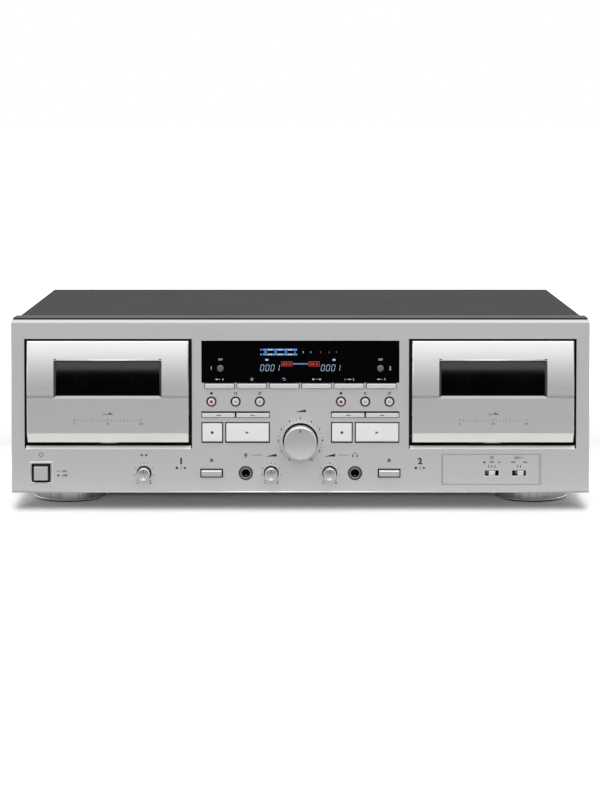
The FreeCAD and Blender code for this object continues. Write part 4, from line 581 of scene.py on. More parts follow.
def dot(shape, x, z, radius, y=panel_y, finish=0, hole=0.0, start=0, sweep=360):
    """A thin disc, ring or part of a ring."""
    if sweep < 360:
        steps = max(2, round(sweep / 15))
        angles = [math.radians(start + sweep * step / steps) for step in range(steps + 1)]
        outer = [(x + radius * math.sin(a), z + radius * math.cos(a)) for a in angles]
        inner = [(x + hole * math.sin(a), z + hole * math.cos(a)) for a in reversed(angles)]
        outline(shape, outer + inner, y, finish)
        return
    turn = Matrix.Translation((x * MM, y * MM, z * MM)) @ Matrix.Rotation(math.pi / 2, 4, "X")
    made = bmesh.ops.create_circle(shape, cap_ends=True, radius=radius * MM, segments=24, matrix=turn)
    faces = list({face for vert in made["verts"] for face in vert.link_faces})
    if hole:
        inset = bmesh.ops.inset_region(shape, faces=faces, thickness=(radius - hole) * MM, use_boundary=True)
        rim = inset["faces"]
        bmesh.ops.delete(shape, geom=faces, context="FACES")
        faces = rim
    thicken(shape, faces, finish)


def words(shape, text, x, z, height, y=panel_y, finish=0, bold=0.0, turn_y=1):
    """Plain lettering round its middle. turn_y is 1 on the front and -1 on the back."""
    curve = bpy.data.curves.new(text, "FONT")
    curve.body = text
    curve.resolution_u = 2
    curve.offset = bold
    carrier = bpy.data.objects.new(text, curve)
    mesh = bpy.data.meshes.new_from_object(carrier)
    xs = [v.co.x for v in mesh.vertices]
    ys = [v.co.y for v in mesh.vertices]
    scale = height * MM / (max(ys) - min(ys))
    middle = Vector(((min(xs) + max(xs)) / 2, (min(ys) + max(ys)) / 2, 0))
    upright = Matrix.Rotation(math.pi / 2, 4, "X")
    if turn_y < 0:
        upright = Matrix.Rotation(math.pi, 4, "Z") @ upright
    place = Matrix.Translation((x * MM, y * MM, z * MM)) @ upright
    mesh.transform(place @ Matrix.Scale(scale, 4) @ Matrix.Translation(-middle))
    loose = bmesh.new()
    loose.from_mesh(mesh)
    bmesh.ops.remove_doubles(loose, verts=loose.verts, dist=MERGED)
    thicken(loose, loose.faces[:], finish, PRINT * turn_y)
    bmesh.ops.recalc_face_normals(loose, faces=loose.faces)
    loose.to_mesh(mesh)
    loose.free()
    shape.from_mesh(mesh)
    bpy.data.meshes.remove(mesh)
    bpy.data.objects.remove(carrier)
    bpy.data.curves.remove(curve)


def triangle(shape, x, z, width, height, y=panel_y, way="up"):
    """A filled arrow head that points up, left or right."""
    w, h = width / 2, height / 2
    corners = {
        "up": [(x - w, z - h), (x + w, z - h), (x, z + h)],
        "right": [(x - w, z - h), (x + w, z), (x - w, z + h)],
        "left": [(x + w, z - h), (x + w, z + h), (x - w, z)],
    }[way]
    outline(shape, corners, y)


def ticks(shape, x, z, radius, length, angles, width, y=panel_y):
    """Short lines round a knob, at angles clockwise from the top."""
    middle = Vector((x, z))
    for angle in angles:
        a = math.radians(angle)
        way = Vector((math.sin(a), math.cos(a)))
        stroke(shape, middle + way * radius, middle + way * (radius + length), width, y)


def block(shape, middle, size):
    """A cuboid round its middle."""
    made = bmesh.ops.create_cube(shape, size=1.0)
    bmesh.ops.scale(shape, vec=Vector(size) * MM, verts=made["verts"])
    bmesh.ops.translate(shape, vec=Vector(middle) * MM, verts=made["verts"])
    return made["verts"]


def rod(shape, middle, radius, length, finish=0):
    """A smooth round rod along X, round its middle."""
    turn = Matrix.Translation([v * MM for v in middle]) @ Matrix.Rotation(math.pi / 2, 4, "Y")
    made = bmesh.ops.create_cone(shape, cap_ends=True, radius1=radius * MM, radius2=radius * MM, depth=length * MM,
                                 segments=16, matrix=turn)
    for face in {face for vert in made["verts"] for face in vert.link_faces}:
        face.material_index = finish
        face.smooth = abs(face.normal.x) < 0.5


AXES = {"X": Vector((1, 0, 0)), "Y": Vector((0, 1, 0)), "Z": Vector((0, 0, 1))}


def lathe(shape, profile, centre, axis="Y", finish=0, steps=32):
    """Spins a closed outline of (radius, height) points round an axis through a centre."""
    along, across = AXES[axis], AXES["Z" if axis == "X" else "X"]
    middle = Vector(centre) * MM
    ring = [shape.verts.new(middle + across * r * MM + along * h * MM) for r, h in profile]
    edges = [shape.edges.new((ring[i], ring[(i + 1) % len(ring)])) for i in range(len(ring))]
    before = set(shape.faces)
    bmesh.ops.spin(shape, geom=ring + edges, cent=middle, axis=along, angle=math.tau, steps=steps, use_merge=True)
    for face in shape.faces:
        if face not in before:
            face.material_index = finish


def cap_pole(shape):
    """Closes a turned shape where its outline meets the axis."""
    bmesh.ops.remove_doubles(shape, verts=shape.verts, dist=MERGED)


# Printed marks

def level_dial(shape):
    """The numbers 0 to 10 round the recording level knob, with two ticks between each."""
    radius, first, apart = 16.6, -150, 30
    for number in range(11):
        angle = math.radians(first + apart * number)
        x, z = radius * math.sin(angle), level_z + radius * math.cos(angle)
        words(shape, str(number), x, z, 2.0, bold=0.035)
    minor = [first + apart / 3 * step for step in range(31) if step % 3]
    ticks(shape, 0, level_z, 15.6, 1.1, minor, 0.32)


def small_dial(shape, x):
    """Ticks round a small knob, with a minus and a plus sign at its ends."""
    radius, aside, z = 6.9, 4.8, control_z - 7.5
    ticks(shape, x, control_z, radius, 1.1, range(-140, 141, 40), 0.4)
    ticks(shape, x, control_z, radius, 1.5, [0], 0.55)
    bar(shape, x - aside, z, 1.8, 0.45)
    bar(shape, x + aside, z, 1.8, 0.45)
    bar(shape, x + aside, z, 0.45, 1.8)


def wedge_sign(shape, x, z):
    """A rising wedge, the sign of a level control."""
    outline(shape, [(x - 4.2, z - 1.1), (x + 4.2, z - 1.1), (x + 4.2, z + 1.1)])


def microphone_sign(shape, x, z):
    bar(shape, x, z + 0.5, 1.1, 2.0)
    dot(shape, x, z + 0.4, 1.5, hole=1.1, start=90, sweep=180)
    bar(shape, x, z - 1.3, 0.4, 0.6)
    bar(shape, x, z - 1.75, 1.7, 0.4)


def headphone_sign(shape, x, z):
    dot(shape, x, z - 0.2, 1.9, hole=1.5, start=-90, sweep=180)
    for side in SIDES:
        bar(shape, x + side * 1.65, z - 0.85, 0.9, 1.6)


def power_sign(shape, x, z):
    dot(shape, x, z, 1.7, hole=1.3, start=35, sweep=290)
    bar(shape, x, z + 1.1, 0.42, 1.7)


def clock_sign(shape, x, z):
    dot(shape, x, z, 1.4, hole=1.05)
    bar(shape, x, z + 0.4, 0.32, 0.9)
    bar(shape, x + 0.35, z, 0.8, 0.32)


def wave_sign(shape, x, z):
    """A row of falling bars, for the noise switch."""
    for step, height in enumerate((0.7, 2.0, 1.2, 2.2, 0.9, 1.6, 0.6, 0.3, 0.3, 0.3)):
        bar(shape, x + (step - 4.5) * 0.85, z, 0.42, height * 1.15)


def record_signs(shape, x):
    """Signs for record, pause and mute above a row of round keys, first key at x."""
    z, pause_x, mute_x = 88.4, x + 18.2, x + 36.4
    dot(shape, x, z, 1.05)
    for side in SIDES:
        bar(shape, pause_x + side * 0.6, z, 0.65, 1.9)
    dot(shape, mute_x, z, 1.05, hole=0.7)
    stroke(shape, (mute_x - 1.3, z - 1.3), (mute_x + 1.3, z + 1.3), 0.38)


def panel_print():
    """Everything printed in dark ink on the front panel."""
    shape = bmesh.new()
    sign_z, counter_x, switch_z = 41.6, 66.85, 36.2
    level_dial(shape)
    wedge_sign(shape, 0, 75.2)
    for side in SIDES:
        small_dial(shape, side * small_knob_x)
        wedge_sign(shape, side * small_knob_x, sign_z)
        bar(shape, side * 32.6, sign_z, 8, 0.3)
        triangle(shape, side * counter_x, 38.4, 3.0, 2.0)
        bar(shape, side * counter_x, 36.8, 3.0, 0.55)
    small_dial(shape, pitch_x)
    triangle(shape, pitch_x - 2, sign_z, 2.2, 2.0, way="left")
    triangle(shape, pitch_x + 2, sign_z, 2.2, 2.0, way="right")
    microphone_sign(shape, -jack_x, sign_z + 0.1)
    headphone_sign(shape, jack_x, sign_z + 0.1)
    power_sign(shape, power_x, 42.0)
    for text, x, z, thick in (("ON", -177.9, 29.4, 0.45), ("OFF", -177.5, 26.2, 0.95)):
        bar(shape, -182.4, z, 2.0, thick)
        words(shape, text, x, z, 1.7, bold=0.03)
    for text, x in (("1", -89.9), ("2", 90.2)):
        words(shape, text, x, 37.2, 5.0, bold=0.05)
        dot(shape, x - 3.2, 31.9, 1.0)
        stroke(shape, (x - 0.8, 30.8), (x + 0.8, 33.0), 0.4)
        triangle(shape, x + 3.2, 31.9, 2.0, 2.1, way="right")
    record_signs(shape, -66.95)
    record_signs(shape, 30.55)
    clock_sign(shape, timer_x, 39.6)
    wave_sign(shape, noise_x + 0.2, 39.6)
    dot(shape, timer_x - 5.6, switch_z, 0.8)
    triangle(shape, timer_x + 5.6, switch_z, 1.6, 1.6, way="right")
    for text, x in (("OFF", timer_x), ("OFF", noise_x - 4.4), ("ON", noise_x + 4.4)):
        words(shape, text, x, switch_z, 1.5, bold=0.03)
    for x, low, high, leans in ((timer_x, 2, 2.6, (-1, 0, 1)), (noise_x, 1, 1.2, SIDES)):
        for lean in leans:
            stroke(shape, (x + lean * low, 32.0), (x + lean * high, 34.2), 0.55)
    new_piece("panel_print", shape, "case", [print_ink])


def switch_border():
    """The raised line round the two slide switches, in a brighter silver that paints its highlight, painted shade at
    both its ends, and a bright line under each slot, a painted highlight.
    """
    shape = bmesh.new()
    left, low, right, high = 107.0, 19.4, 181.3, 42.2
    line, proud = 1.1, 0.4
    face = flat(shape, [(left, low), (right, low), (right, high), (left, high)], panel_y)
    rim = bmesh.ops.inset_region(shape, faces=[face], thickness=line * MM, use_boundary=True)["faces"]
    bmesh.ops.delete(shape, geom=[face], context="FACES")
    thicken(shape, rim, 0, depth=proud)
    raised = (panel_y - 0.75 * proud) * MM
    front = [e for e in shape.edges if all(v.co.y < raised for v in e.verts) and e.calc_face_angle(0) > 0.5]
    round_off(shape, front, 0.34, 2)
    # A bright strip under each slot: a painted highlight on its lower edge.
    for x in (timer_x, noise_x):
        bar(shape, x, control_z - 2.4, 11.5, 0.6, depth=0.12)
    # Thin grey lines at the border's two ends: painted shade.
    for x in (left - 0.25, right - 1.3):
        bar(shape, x, (low + high) / 2, 0.35, high - low - 1, finish=1)
    new_piece("switch_border", shape, "case", [border_silver_painted_highlight, grey_ink_and_painted_shade])


def foot_bead():
    """The bright bead along the panel's lower edge."""
    shape = bmesh.new()
    rod(shape, (0, panel_y + 0.25, 13.75), 0.62, 434.8)
    new_piece("foot_bead", shape, "case", [cut_metal])


def foot_rings():
    """The turned bead round the lower edge of each foot."""
    shape = bmesh.new()
    ring = [(27.0, 1.5), (28.1, 1.5), (28.4, 1.9), (28.4, 2.3), (28.1, 2.7), (27.0, 2.7)]
    for side in SIDES:
        for y in (front_foot_y, rear_foot_y):
            lathe(shape, ring, (side * foot_x, y, 0), "Z", steps=96)
    new_piece("foot_rings", shape, "case", [cut_metal])


def key_rings():
    """The shaded rim of the panel round each round key."""
    shape = bmesh.new()
    for deck in DECKS:
        for name in ("record_key", "pause_key", "record_mute_key"):
            x, _, z = box_of(f"{name}_{deck}")[2]
            dot(shape, x, z, 4.0, hole=3.66)
    new_piece("key_rings", shape, "case", [grey_ink_and_painted_shade])


def display_print():
    """The white signs on the display window: one above each key, and the counters' numbers."""
    shape = bmesh.new()
    y, z = display_y, 98.9
    for key, x in enumerate((-60.9, -36.5, -12.2, 12.2, 36.5, 60.9)):
        if key in (0, 5):
            triangle(shape, x - 2.6, z, 1.6, 1.5, y, way="left")
            bar(shape, x - 0.6, z, 2.4, 0.35, y)
            words(shape, "0", x + 2.6, z, 1.6, y, bold=0.02)
        elif key == 1:
            dot(shape, x, z, 0.55, y)
            ticks(shape, x, z, 0.85, 0.5, range(0, 360, 45), 0.25, y)
        elif key == 2:
            dot(shape, x, z, 1.0, y, hole=0.7, start=-60, sweep=290)
            triangle(shape, x - 1.1, z + 0.7, 0.9, 0.9, y, way="left")
        elif key == 3:
            for side in SIDES:
                dot(shape, x + side * 2.6, z, 0.7, y)
                bar(shape, x + side * 0.9, z, 1.2, 0.3, y)
        else:
            words(shape, "1", x - 3, z, 1.6, y, bold=0.02)
            bar(shape, x - 0.5, z, 2.2, 0.35, y)
            triangle(shape, x + 1.2, z, 1.4, 1.4, y, way="right")
            words(shape, "2", x + 3.4, z, 1.6, y, bold=0.02)
    for side in SIDES:
        words(shape, "000", side * 60.2, 113.9, 1.6, y, bold=0.02)
    for text, x in (("1", -67.1), ("2", 67.6)):
        words(shape, text, x, 107.4, 2.8, y, bold=0.01)
    new_piece("display_print", shape, "case", [white_ink])


# What the display shows

def segment_digit(shape, x, z, pattern, finish):
    """A slanted digit of seven straight segments, from its lower left corner."""
    wide, tall, thick, lean = 2.3, 4.6, 0.36, 0.16

    def at(u, v):
        return (x + u * wide + v * tall * lean, z + v * tall)

    ends = {
        "a": ((0.1, 1), (0.9, 1)), "b": ((1, 0.95), (1, 0.55)), "c": ((1, 0.45), (1, 0.05)),
        "d": ((0.1, 0), (0.9, 0)), "e": ((0, 0.45), (0, 0.05)), "f": ((0, 0.95), (0, 0.55)),
    }
    for name in pattern:
        start, end = ends[name]
        stroke(shape, at(*start), at(*end), thick, display_y, finish)


def display_figures():
    """The lit meter, counters and signs of the display."""
    shape = bmesh.new()
    blue, white, red, dim = range(4)
    y, tape_z = display_y, 110.6
    for row in (121.3, 117.7):
        dot(shape, -29.7, row, 0.5, y, white)
        for step in range(14):
            bar(shape, -27.4 + step * 1.85, row, 1.6, 1.25, y, white if step % 4 in (2, 3) else blue)
    for x, text in ((-26.3, "40"), (-18.6, "20"), (-10.9, "10"), (-4.2, "5")):
        words(shape, text, x, 119.5, 1.5, y, blue, bold=0.03)
    for x, text, glow in ((2.0, "3", white), (7.8, "0", blue), (15.1, "3", dim), (21.6, "6", dim), (27.1, "9", dim)):
        words(shape, text, x, 119.4, 1.5, y, glow, bold=0.03)
    for side in SIDES:
        bar(shape, side * 25.3, 113.6, 2.2, 1.3, y, white)
        middle = side * 10.2
        for edge in SIDES:
            bar(shape, middle, tape_z + edge * 1.6, 8.0, 0.35, y, red)
            bar(shape, middle + edge * 4.0, tape_z, 0.35, 3.5, y, red)
        for step in (-2.6, -1.3, 0):
            bar(shape, middle + step, tape_z, 0.8, 1.5, y, red)
        dot(shape, middle + 2.2, tape_z, 0.9, y, red, hole=0.45)
    for step in range(9):
        bar(shape, -4.9 + step * 1.22, tape_z, 0.85, 1.0, y, blue)
    for left in (-30.3, 15.4):
        for place, digit in enumerate("0001"):
            segment_digit(shape, left + place * 3.9, 105.3, "abcdef" if digit == "0" else "bc", white)
    new_piece("display_figures", shape, "case", [lit_blue, lit_white, lit_red, dim_red])


# Marks on the moving parts

def key_marks():
    """The signs on the stop, play, wind and record keys."""
    for deck in DECKS:
        for name, mark, ink in (
            ("stop_key", "stop_mark", print_ink), ("play_key", "play_mark", print_ink),
            ("rewind_key", "rewind_mark", print_ink), ("forward_key", "forward_mark", print_ink),
            ("record_key", "record_dot", red_ink), ("pause_key", "pause_key_mark", grey_ink_and_painted_shade),
            ("record_mute_key", "record_mute_key_mark", grey_ink_and_painted_shade),
        ):
            (_, y, _), _, (x, _, z) = box_of(f"{name}_{deck}")
            shape = bmesh.new()
            if name == "stop_key":
                bar(shape, x, play_z, 1.9, 1.9, y)
            elif name == "play_key":
                triangle(shape, x, play_z, 2.4, 1.9, y, way="right")
            elif name in ("rewind_key", "forward_key"):
                for step in SIDES:
                    way = "left" if name == "rewind_key" else "right"
                    triangle(shape, x + step * 0.85, z, 1.6, 1.3, y, way)
            elif name == "record_key":
                dot(shape, x, round_key_z, 1.25, y)
            elif name == "pause_key":
                for step in SIDES:
                    bar(shape, x + step * 0.55, round_key_z, 0.5, 1.6, y)
            else:
                dot(shape, x, round_key_z, 0.9, y, hole=0.55)
            new_piece(f"{mark}_{deck}", shape, f"{name}_{deck}", [ink])


def door_marks():
    """The tape's way and a tape scale, printed on each door below its window."""
    for deck, side in DECKS.items():
        x = side * door_x
        left = x - 25
        shape = bmesh.new()
        bar(shape, x - 1.2, 73.3, 6.2, 0.35, door_y)
        outline(shape, [(x + 0.6, 75.0), (x + 4.6, 73.1), (x + 1.6, 73.1)], door_y)
        for step in range(21):
            tall = 2.0 if step % 5 == 0 else 1.1
            bar(shape, left + step * 2.5, 68.0 + tall / 2, 0.3, tall, door_y)
        for number in (0, 50, 100):
            words(shape, str(number), left + number / 2, 66.2, 1.6, door_y)
        new_piece(f"door_print_{deck}", shape, f"door_{deck}", [print_ink])


# Turned and formed pieces

def knobs():
    """Turned knobs with a cut rim and a shallow dish, each on its shaft, with a pointer."""
    dish_depth = 0.35
    # Each kind's rim, chamfer, pointer (height above the middle, length, width), tone and painted glint, the
    # strength of its painted highlight wedges.
    large, small = (12.1, 0.55, (9.2, 2.0, 0.9), 0.84, 0.0), (4.75, 0.4, (2.6, 2.6, 0.6), 0.66, 0.16)
    for node, x, z, (rim, chamfer, (at, tall, wide), tone, painted_glint) in (
        ("record_level_knob", 0, level_z, large),
        ("microphone_level_knob", -small_knob_x, control_z, small),
        ("headphone_level_knob", small_knob_x, control_z, small),
        ("pitch_knob", pitch_x, control_z, small),
    ):
        (_, face, _), (_, shaft, _), _ = box_of(node)
        back, edge, bevel = face + 12, rim - chamfer - 0.25, face + chamfer
        dish = [(edge * step / 8, face + 0.04 + dish_depth * (1 - (step / 8) ** 2)) for step in range(9)]
        profile = dish + [(edge, face), (rim - chamfer, face), (rim, bevel), (rim, bevel + 0.6)]
        profile += [(rim - 0.12, bevel + 0.7), (rim - 0.12, back), (2.0, back), (2.0, shaft), (0, shaft)]
        shape = bmesh.new()
        lathe(shape, profile, (x, 0, z), steps=64)
        cap_pole(shape)
        for cut in shape.faces:
            middle = cut.calc_center_median()
            if middle.y < bevel * MM and (middle.xz - Vector((x, z)) * MM).length > (edge + 0.02) * MM:
                cut.material_index = 1
        bar(shape, x, z + at, wide, tall, face + 0.25, finish=2, depth=0.25)
        finish = turned(f"turned_{node}", (tone, tone, tone * 1.01), 0.33, (x, 0, z), painted_glint=painted_glint)
        new_piece(f"turned_{node}", shape, node, [finish, cut_metal, print_ink], [node])


def jack_trim():
    """The thin metal ring in each front socket and the contact spring inside it."""
    shape = bmesh.new()
    mouth = -127.1
    ring = [(3.3, mouth + 1), (4.15, mouth + 1), (4.15, mouth - 0.1), (3.95, mouth - 0.25), (3.6, mouth - 0.25),
            (3.3, mouth - 0.05)]
    for side in SIDES:
        lathe(shape, ring, (side * jack_x, 0, control_z))
        turn = Matrix.Translation([v * MM for v in (side * jack_x, -122.5, control_z - 2.3)])
        made = bmesh.ops.create_uvsphere(shape, u_segments=12, v_segments=8, radius=MM, matrix=turn)
        bmesh.ops.scale(shape, vec=(1.5, 1.6, 0.6), space=Matrix.Translation(-turn.to_translation()),
                        verts=made["verts"])
    new_piece("jack_trim", shape, "case", [dull_nickel])


def door_lean(z):
    """How far a door leans back at a height."""
    return max(0.0, z - door_arc_z) ** 2 / (2 * door_arc_radius)


def door_lenses():
    """The smoked windows: flat below, and following the door's arc at the top."""
    half, low, high = 42.6, 83.4, 117.0
    for deck, side in DECKS.items():
        shape = bmesh.new()
        grid = bmesh.ops.create_grid(shape, x_segments=1, y_segments=72, size=0.5)
        for vert in grid["verts"]:
            across, up = vert.co.x * 2 * half, low + (vert.co.y + 0.5) * (high - low)
            vert.co = Vector((side * door_x + across, -130.9 + door_lean(up), up)) * MM
        bmesh.ops.recalc_face_normals(shape, faces=shape.faces)
        bmesh.ops.solidify(shape, geom=shape.faces[:], thickness=1.2 * MM)
        new_piece(f"window_lens_{deck}", shape, f"door_{deck}", [lens_glass], [f"door_lens_{deck}"])


def window_hoods():
    """The door's skin over the upper edge of each window, with a bright cut edge and, under it, a black strip that
    stands in for the shade there.
    """
    top, foot, edge, half = 115.2, 113.8, 0.6, 40.5
    skin_top, skin_edge, skin_foot = (door_y + door_lean(z) - 0.01 for z in (top, foot + edge, foot))
    section = [(skin_top, top), (skin_edge, foot + edge), (skin_foot + 0.15, foot), (skin_foot + 0.8, foot),
               (skin_top + 0.8, top)]
    for deck, side in DECKS.items():
        centre = side * door_x
        shape = bmesh.new()
        end = shape.faces.new([shape.verts.new(((centre - half) * MM, y * MM, z * MM)) for y, z in section])
        bmesh.ops.translate(shape, vec=(2 * half * MM, 0, 0), verts=extrude(shape, [end]))
        for face in shape.faces:
            middle = face.calc_center_median()
            face.material_index = int(middle.z < (foot + edge) * MM and middle.y < (skin_foot + 0.3) * MM)
        rod(shape, (centre, skin_foot + 0.15, foot + 0.1), 0.55, 2 * half, finish=1)
        # A black strip between the hood and the lens: painted shade under the hood's edge.
        for vert in block(shape, (centre, -130.7, 113.1), (77, 0.6, 1.4)):
            for face in vert.link_faces:
                face.material_index = 2
        finishes = [door_silver, cut_metal, black_moulding]
        new_piece(f"window_hood_{deck}", shape, f"door_{deck}", finishes)


def lies_at(item, y):
    """Whether all corners of an edge or face lie on the plane y."""
    return all(abs(v.co.y - y * MM) < NEAR for v in item.verts)


def bow_face(shape, front, z, tall):
    """Cuts a key's face into strips and sets its upper and lower ends back a little."""
    bow = 0.14
    for step in range(1, 10):
        cut = (0, 0, (z - tall / 2 + tall * step / 10) * MM)
        faces = [f for f in shape.faces if lies_at(f, front)]
        rim = {e for f in faces for e in f.edges} | {v for f in faces for v in f.verts}
        bmesh.ops.bisect_plane(shape, geom=faces + list(rim), plane_co=cut, plane_no=(0, 0, 1))
    for vert in shape.verts:
        if abs(vert.co.y - front * MM) < NEAR:
            vert.co.y += bow * ((vert.co.z / MM - z) * 2 / tall) ** 2 * MM


def key_caps():
    """The stop, play and eject keys, with a wide rounded lower edge, on their collar and stem."""
    cap_depth, ledge, stem = 10, 1.1, 2.8
    for deck in DECKS:
        for name, finish, lower_round, upper_round in (
            ("stop_key", "stop", 1.3, 0.6), ("play_key", "stop", 1.3, 0.6), ("eject_button", "eject", 1.2, 0.9),
        ):
            node = f"{name}_{deck}"
            (left, front, low), (right, back, high), (x, _, z) = box_of(node)
            wide, tall, collar, near_face = right - left, high - low, front + cap_depth, front + 3
            shape = bmesh.new()
            block(shape, (x, front + cap_depth / 2, z), (wide, cap_depth, tall - 2 * ledge))
            for upper, radius, steps in ((False, lower_round, 6), (True, upper_round, 4)):
                edges = [e for e in shape.edges if lies_at(e, front)
                         and all((v.co.z > z * MM) == upper for v in e.verts)
                         and abs(e.verts[0].co.z - e.verts[1].co.z) < NEAR]
                round_off(shape, edges, radius, steps)
            for end in (left, right):
                edges = [e for e in shape.edges
                         if all(abs(v.co.x - end * MM) < NEAR and v.co.y < near_face * MM for v in e.verts)]
                round_off(shape, edges, 0.4, 2, clamp_overlap=False)
            block(shape, (x, collar, z), (wide, 1.2, tall))
            block(shape, (x, (collar + back) / 2, z), (stem, back - collar, stem))
            # Faces that look down and forward take the painted shade of the key's underside.
            for face in shape.faces:
                face.material_index = int(face.normal.z < -0.35 and face.normal.y < -0.1)
            if finish == "stop":
                bow_face(shape, front, z, tall)
            new_piece(f"{name}_cap_{deck}", shape, node, [key_silver[finish], key_painted_shade], [node])


def case_screws():
    """Pan head screws with a cross recess."""
    shape = bmesh.new()
    places = [((side * 214.0, y, 25.6), "X", side) for side in SIDES for y in (-72.5, 103.5)]
    places += [((side * 198.8, rear_y, 20.6), "Y", 1) for side in SIDES]
    places += [((x, rear_y + 1.2, 138.4), "Y", 1) for x in (-182.8, 0, 182.8)]
    places += [((x, 55.0, 16.3), "Z", 1) for x in (-185, -105)]
    for centre, axis, way in places:
        head = [(0.9, way * 1.1), (1.0, way * 1.9), (1.6, way * 1.9), (2.4, way * 1.6), (2.9, way * 0.9), (2.9, 0),
                (1.45, 0), (1.45, way * -6), (0.9, way * -6)]
        lathe(shape, head, centre, axis, steps=24)
        for long_axis in "XYZ".replace(axis, ""):
            size = [{axis: 1.0, long_axis: 2.1}.get(one, 0.5) for one in "XYZ"]
            block(shape, Vector(centre) + AXES[axis] * way * 0.7, size)
    new_piece("cross_head_screws", shape, "case", [screw_steel], ["case_screws"])


def rear_connectors():
    """The phono sockets with metal sleeves and coloured insulators, and the mains inlet with its two pins."""
    shape = bmesh.new()
    black, nickel, white, red, pins = range(5)
    sleeve = [(3.3, 132.3), (4.15, 132.3), (4.15, 142.2), (3.95, 142.5), (3.5, 142.5), (3.3, 142.3)]
    core = [(1.6, 135.5), (3.3, 135.5), (3.3, 141.7), (3.0, 142.0), (1.9, 142.0), (1.6, 141.7)]
    floor = [(0, 133.2), (3.4, 133.2), (3.4, 135.6), (0, 135.6)]
    for middle in socket_block_x:
        block(shape, (middle, 127.8, 55.6), (28.8, 9, 33.8))
        for side in SIDES:
            for z, insulator in ((left_socket_z, white), (right_socket_z, red)):
                for profile, finish in ((sleeve, nickel), (core, insulator), (floor, black)):
                    lathe(shape, profile, (middle + side * socket_pair, 0, z), finish=finish)
    flange = block(shape, (inlet_x, 134.25, inlet_z), (31, 1.5, 21))
    least = 600 * MM ** 2  # only the flange's front and back are larger than this
    # The front grows into the inlet's body, and the back is pressed in to hold the pins.
    for inset, end, way in ((2.5, 114.5, -1), (4.5, 116.5, 1)):
        face = [f for vert in flange for f in vert.link_faces if f.normal.y * way > 0.9 and f.calc_area() > least][0]
        bmesh.ops.inset_region(shape, faces=[face], thickness=inset * MM)
        moved = extrude(shape, [face])
        bmesh.ops.delete(shape, geom=[face], context="FACES_ONLY")
        bmesh.ops.translate(shape, vec=(0, end * MM - moved[0].co.y, 0), verts=moved)
    pin = [(0, 116.4), (1.2, 116.4), (1.2, 130.0), (0.8, 130.5), (0, 130.5)]
    for side in SIDES:
        lathe(shape, pin, (inlet_x + side * 4.3, 0, inlet_z), finish=pins, steps=20)
    cap_pole(shape)
    finishes = [socket_black, sleeve_nickel, socket_white, socket_red, brass]
    new_piece("rear_connectors", shape, "case", finishes, ["rear_sockets"])


def rear_print():
    """Plain marks beside the rear sockets, in pale ink."""
    shape = bmesh.new()
    front = rear_y + PRINT  # a mark that thickens towards the front ends on the panel
    for text, z in (("L", left_socket_z), ("R", right_socket_z)):
        words(shape, text, 62, z, 3.2, rear_y, turn_y=-1)
    for number, middle in enumerate(socket_block_x, 1):
        words(shape, str(number), middle, 81.5, 3.6, rear_y, bold=0.02, turn_y=-1)
        for side in SIDES:
            triangle(shape, middle + side * socket_pair, 74.4, 2.4, 2.0, front)
            bar(shape, middle + side * 15.2, 57.5, 0.4, 42.0, front)
            bar(shape, middle, 57.5 + side * 20.8, 30.8, 0.4, front)
        bar(shape, middle + socket_pair, 76.2, 2.4, 0.5, front)
    words(shape, "~", inlet_x, 64.0, 1.6, rear_y, bold=0.02, turn_y=-1)
    new_piece("rear_print", shape, "case", [pale_ink])


# The studio, in metres

def seen_directly(tree):
    """1 for what the camera sees straight, in metal or through glass, and 0 for light on the deck."""
    seen = add(tree, "ShaderNodeLightPath")
    mirrored = maths(tree, "ADD", seen["Is Glossy Ray"], seen["Is Transmission Ray"])
    return maths(tree, "ADD", seen["Is Camera Ray"], mirrored)


def outside_box(tree, place, half):
    """How far a point of the floor lies outside a box round the case's middle."""
    middle = (0, 0.0035, 0)
    folded = vectors(tree, "ABSOLUTE", vectors(tree, "SUBTRACT", place, middle))
    over = vectors(tree, "MAXIMUM", vectors(tree, "SUBTRACT", folded, half))
    return vectors(tree, "LENGTH", over, output="Value")


def soft_step(tree, value, start, end, height):
    """Rises softly from 0 to a height between two values."""
    inputs = {"Value": value, "From Min": start, "From Max": end, "To Max": height}
    return add(tree, "ShaderNodeMapRange", inputs, interpolation_type="SMOOTHSTEP")[0]


def matt(name, tone):
    """Starts a dull finish without shine, and gives how far a point lies from the middle and how far back."""
    made, tree, shader, place = start_finish(name)
    fill(tree, shader, {"Base Color": (*grey(tone), 1), "Roughness": 1.0, "Specular IOR Level": 0.0})
    axes = add(tree, "ShaderNodeSeparateXYZ", {"Vector": place})
    return made, tree, shader, place, maths(tree, "ABSOLUTE", axes["X"]), axes["Y"]


def floor_paper():
    """White paper that glows, less near the case, where its shadow falls; beside the case, the camera alone sees
    painted light that lifts the side shadow.
    """
    made, tree, shader, place, across, along = matt("floor_paper", 0.93)
    deep = soft_step(tree, outside_box(tree, place, (0.17, 0.05, 1)), 0, 0.03, 0.07)
    away = outside_box(tree, place, (0.217, 0.112, 1))
    near = soft_step(tree, away, 0, 0.033, 0.26)
    far = soft_step(tree, away, 0.033, 0.8, 0.67)
    spread = maths(tree, "ADD", maths(tree, "ADD", deep, near), far)
    # Painted light on the floor beside the case, seen by the camera only, which wipes out the case's side shadow.
    painted_light_beside = maths(tree, "MULTIPLY", soft_step(tree, across, 0.2125, 0.2222, 0.45),
                   soft_step(tree, along, 0.22, 0.08, 1.0))
    in_view = maths(tree, "MULTIPLY", add(tree, "ShaderNodeLightPath")["Is Camera Ray"], painted_light_beside)
    glow = maths(tree, "ADD", maths(tree, "MULTIPLY", seen_directly(tree), spread), in_view)
    fill(tree, shader, {"Emission Color": (1, 1, 1, 1), "Emission Strength": glow})
    return made


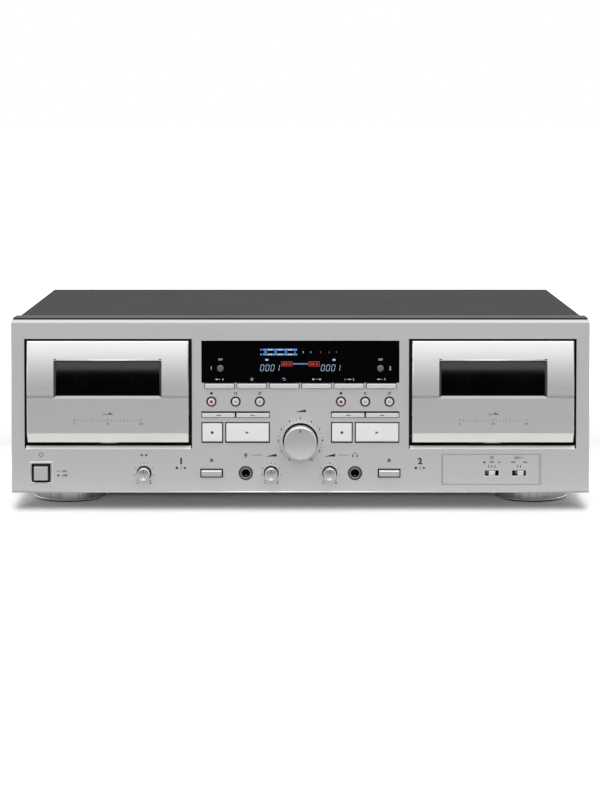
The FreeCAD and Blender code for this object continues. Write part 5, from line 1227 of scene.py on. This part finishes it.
def dark_felt():
    """Black, for the card that only mirrors in the metal, with soft edges."""
    made, tree, shader, _, across, along = matt("dark_felt", 0.0)
    low = soft_step(tree, along, -0.152, -0.18, 0.68)
    near = maths(tree, "ADD", soft_step(tree, along, -0.42, -0.64, 0.32), low)
    far = soft_step(tree, along, -16.0, -2.2, 1.0)
    side = soft_step(tree, across, 2.5, 1.2, 1.0)
    fill(tree, shader, {"Alpha": maths(tree, "MULTIPLY", maths(tree, "MULTIPLY", near, far), side)})
    return made


def sheet(name, half, middle, finish):
    """A level square."""
    shape = bmesh.new()
    bmesh.ops.create_grid(shape, x_segments=1, y_segments=1, size=half, matrix=Matrix.Translation(middle))
    return new_object(name, shape, [finish])


def studio():
    """A pale floor, a soft top light, a large soft front light and the camera."""
    scene = bpy.context.scene
    scene.view_settings.view_transform = "Standard"
    floor = sheet("floor", 30.0, (0, 0, 0), floor_paper())
    card = sheet("dark_card", 8, (0, -8.15, 0.002), dark_felt())
    card.visible_camera = card.visible_diffuse = card.visible_shadow = card.visible_transmission = False

    world = bpy.data.worlds.new("studio")
    scene.world = world
    world.use_nodes = True
    tree = world.node_tree
    level = add(tree, "ShaderNodeMapRange", {"Value": seen_directly(tree), "To Min": 0.3, "To Max": 1.0})[0]
    fill(tree, tree.nodes["Background"].inputs, {"Color": (1, 1, 1, 1), "Strength": level})

    for name, place, aim, wide, deep, power in (
        ("top_light", (0, -0.25, 1.6), (0, -0.1, 0), 2.4, 1.8, 12.0),
        ("front_light", (0, -2.5, 1.7), (0, 0, 0.1), 3.4, 2.0, 32.0),
    ):
        lamp = bpy.data.lights.new(name, "AREA")
        lamp.shape = "RECTANGLE"
        lamp.size = wide
        lamp.size_y = deep
        lamp.energy = power
        light = bpy.data.objects.new(name, lamp)
        light.location = place
        light.rotation_euler = (Vector(aim) - Vector(place)).to_track_quat("-Z", "Y").to_euler()
        light.visible_camera = False
        scene.collection.objects.link(light)

    lens = bpy.data.cameras.new("camera")
    lens.lens = 101.36
    lens.shift_x = -0.0005
    lens.shift_y = -0.24975
    camera = bpy.data.objects.new("camera", lens)
    camera.location = (0, -1.8135, 0.3069)
    camera.rotation_euler = (math.radians(87.52), 0, 0)
    scene.collection.objects.link(camera)
    scene.camera = camera


studio()
lens_glass = smoked_glass()
dress_cad()
panel_print()
switch_border()
foot_bead()
foot_rings()
key_rings()
display_print()
display_figures()
key_marks()
door_marks()
knobs()
jack_trim()
door_lenses()
window_hoods()
key_caps()
case_screws()
rear_connectors()
rear_print()
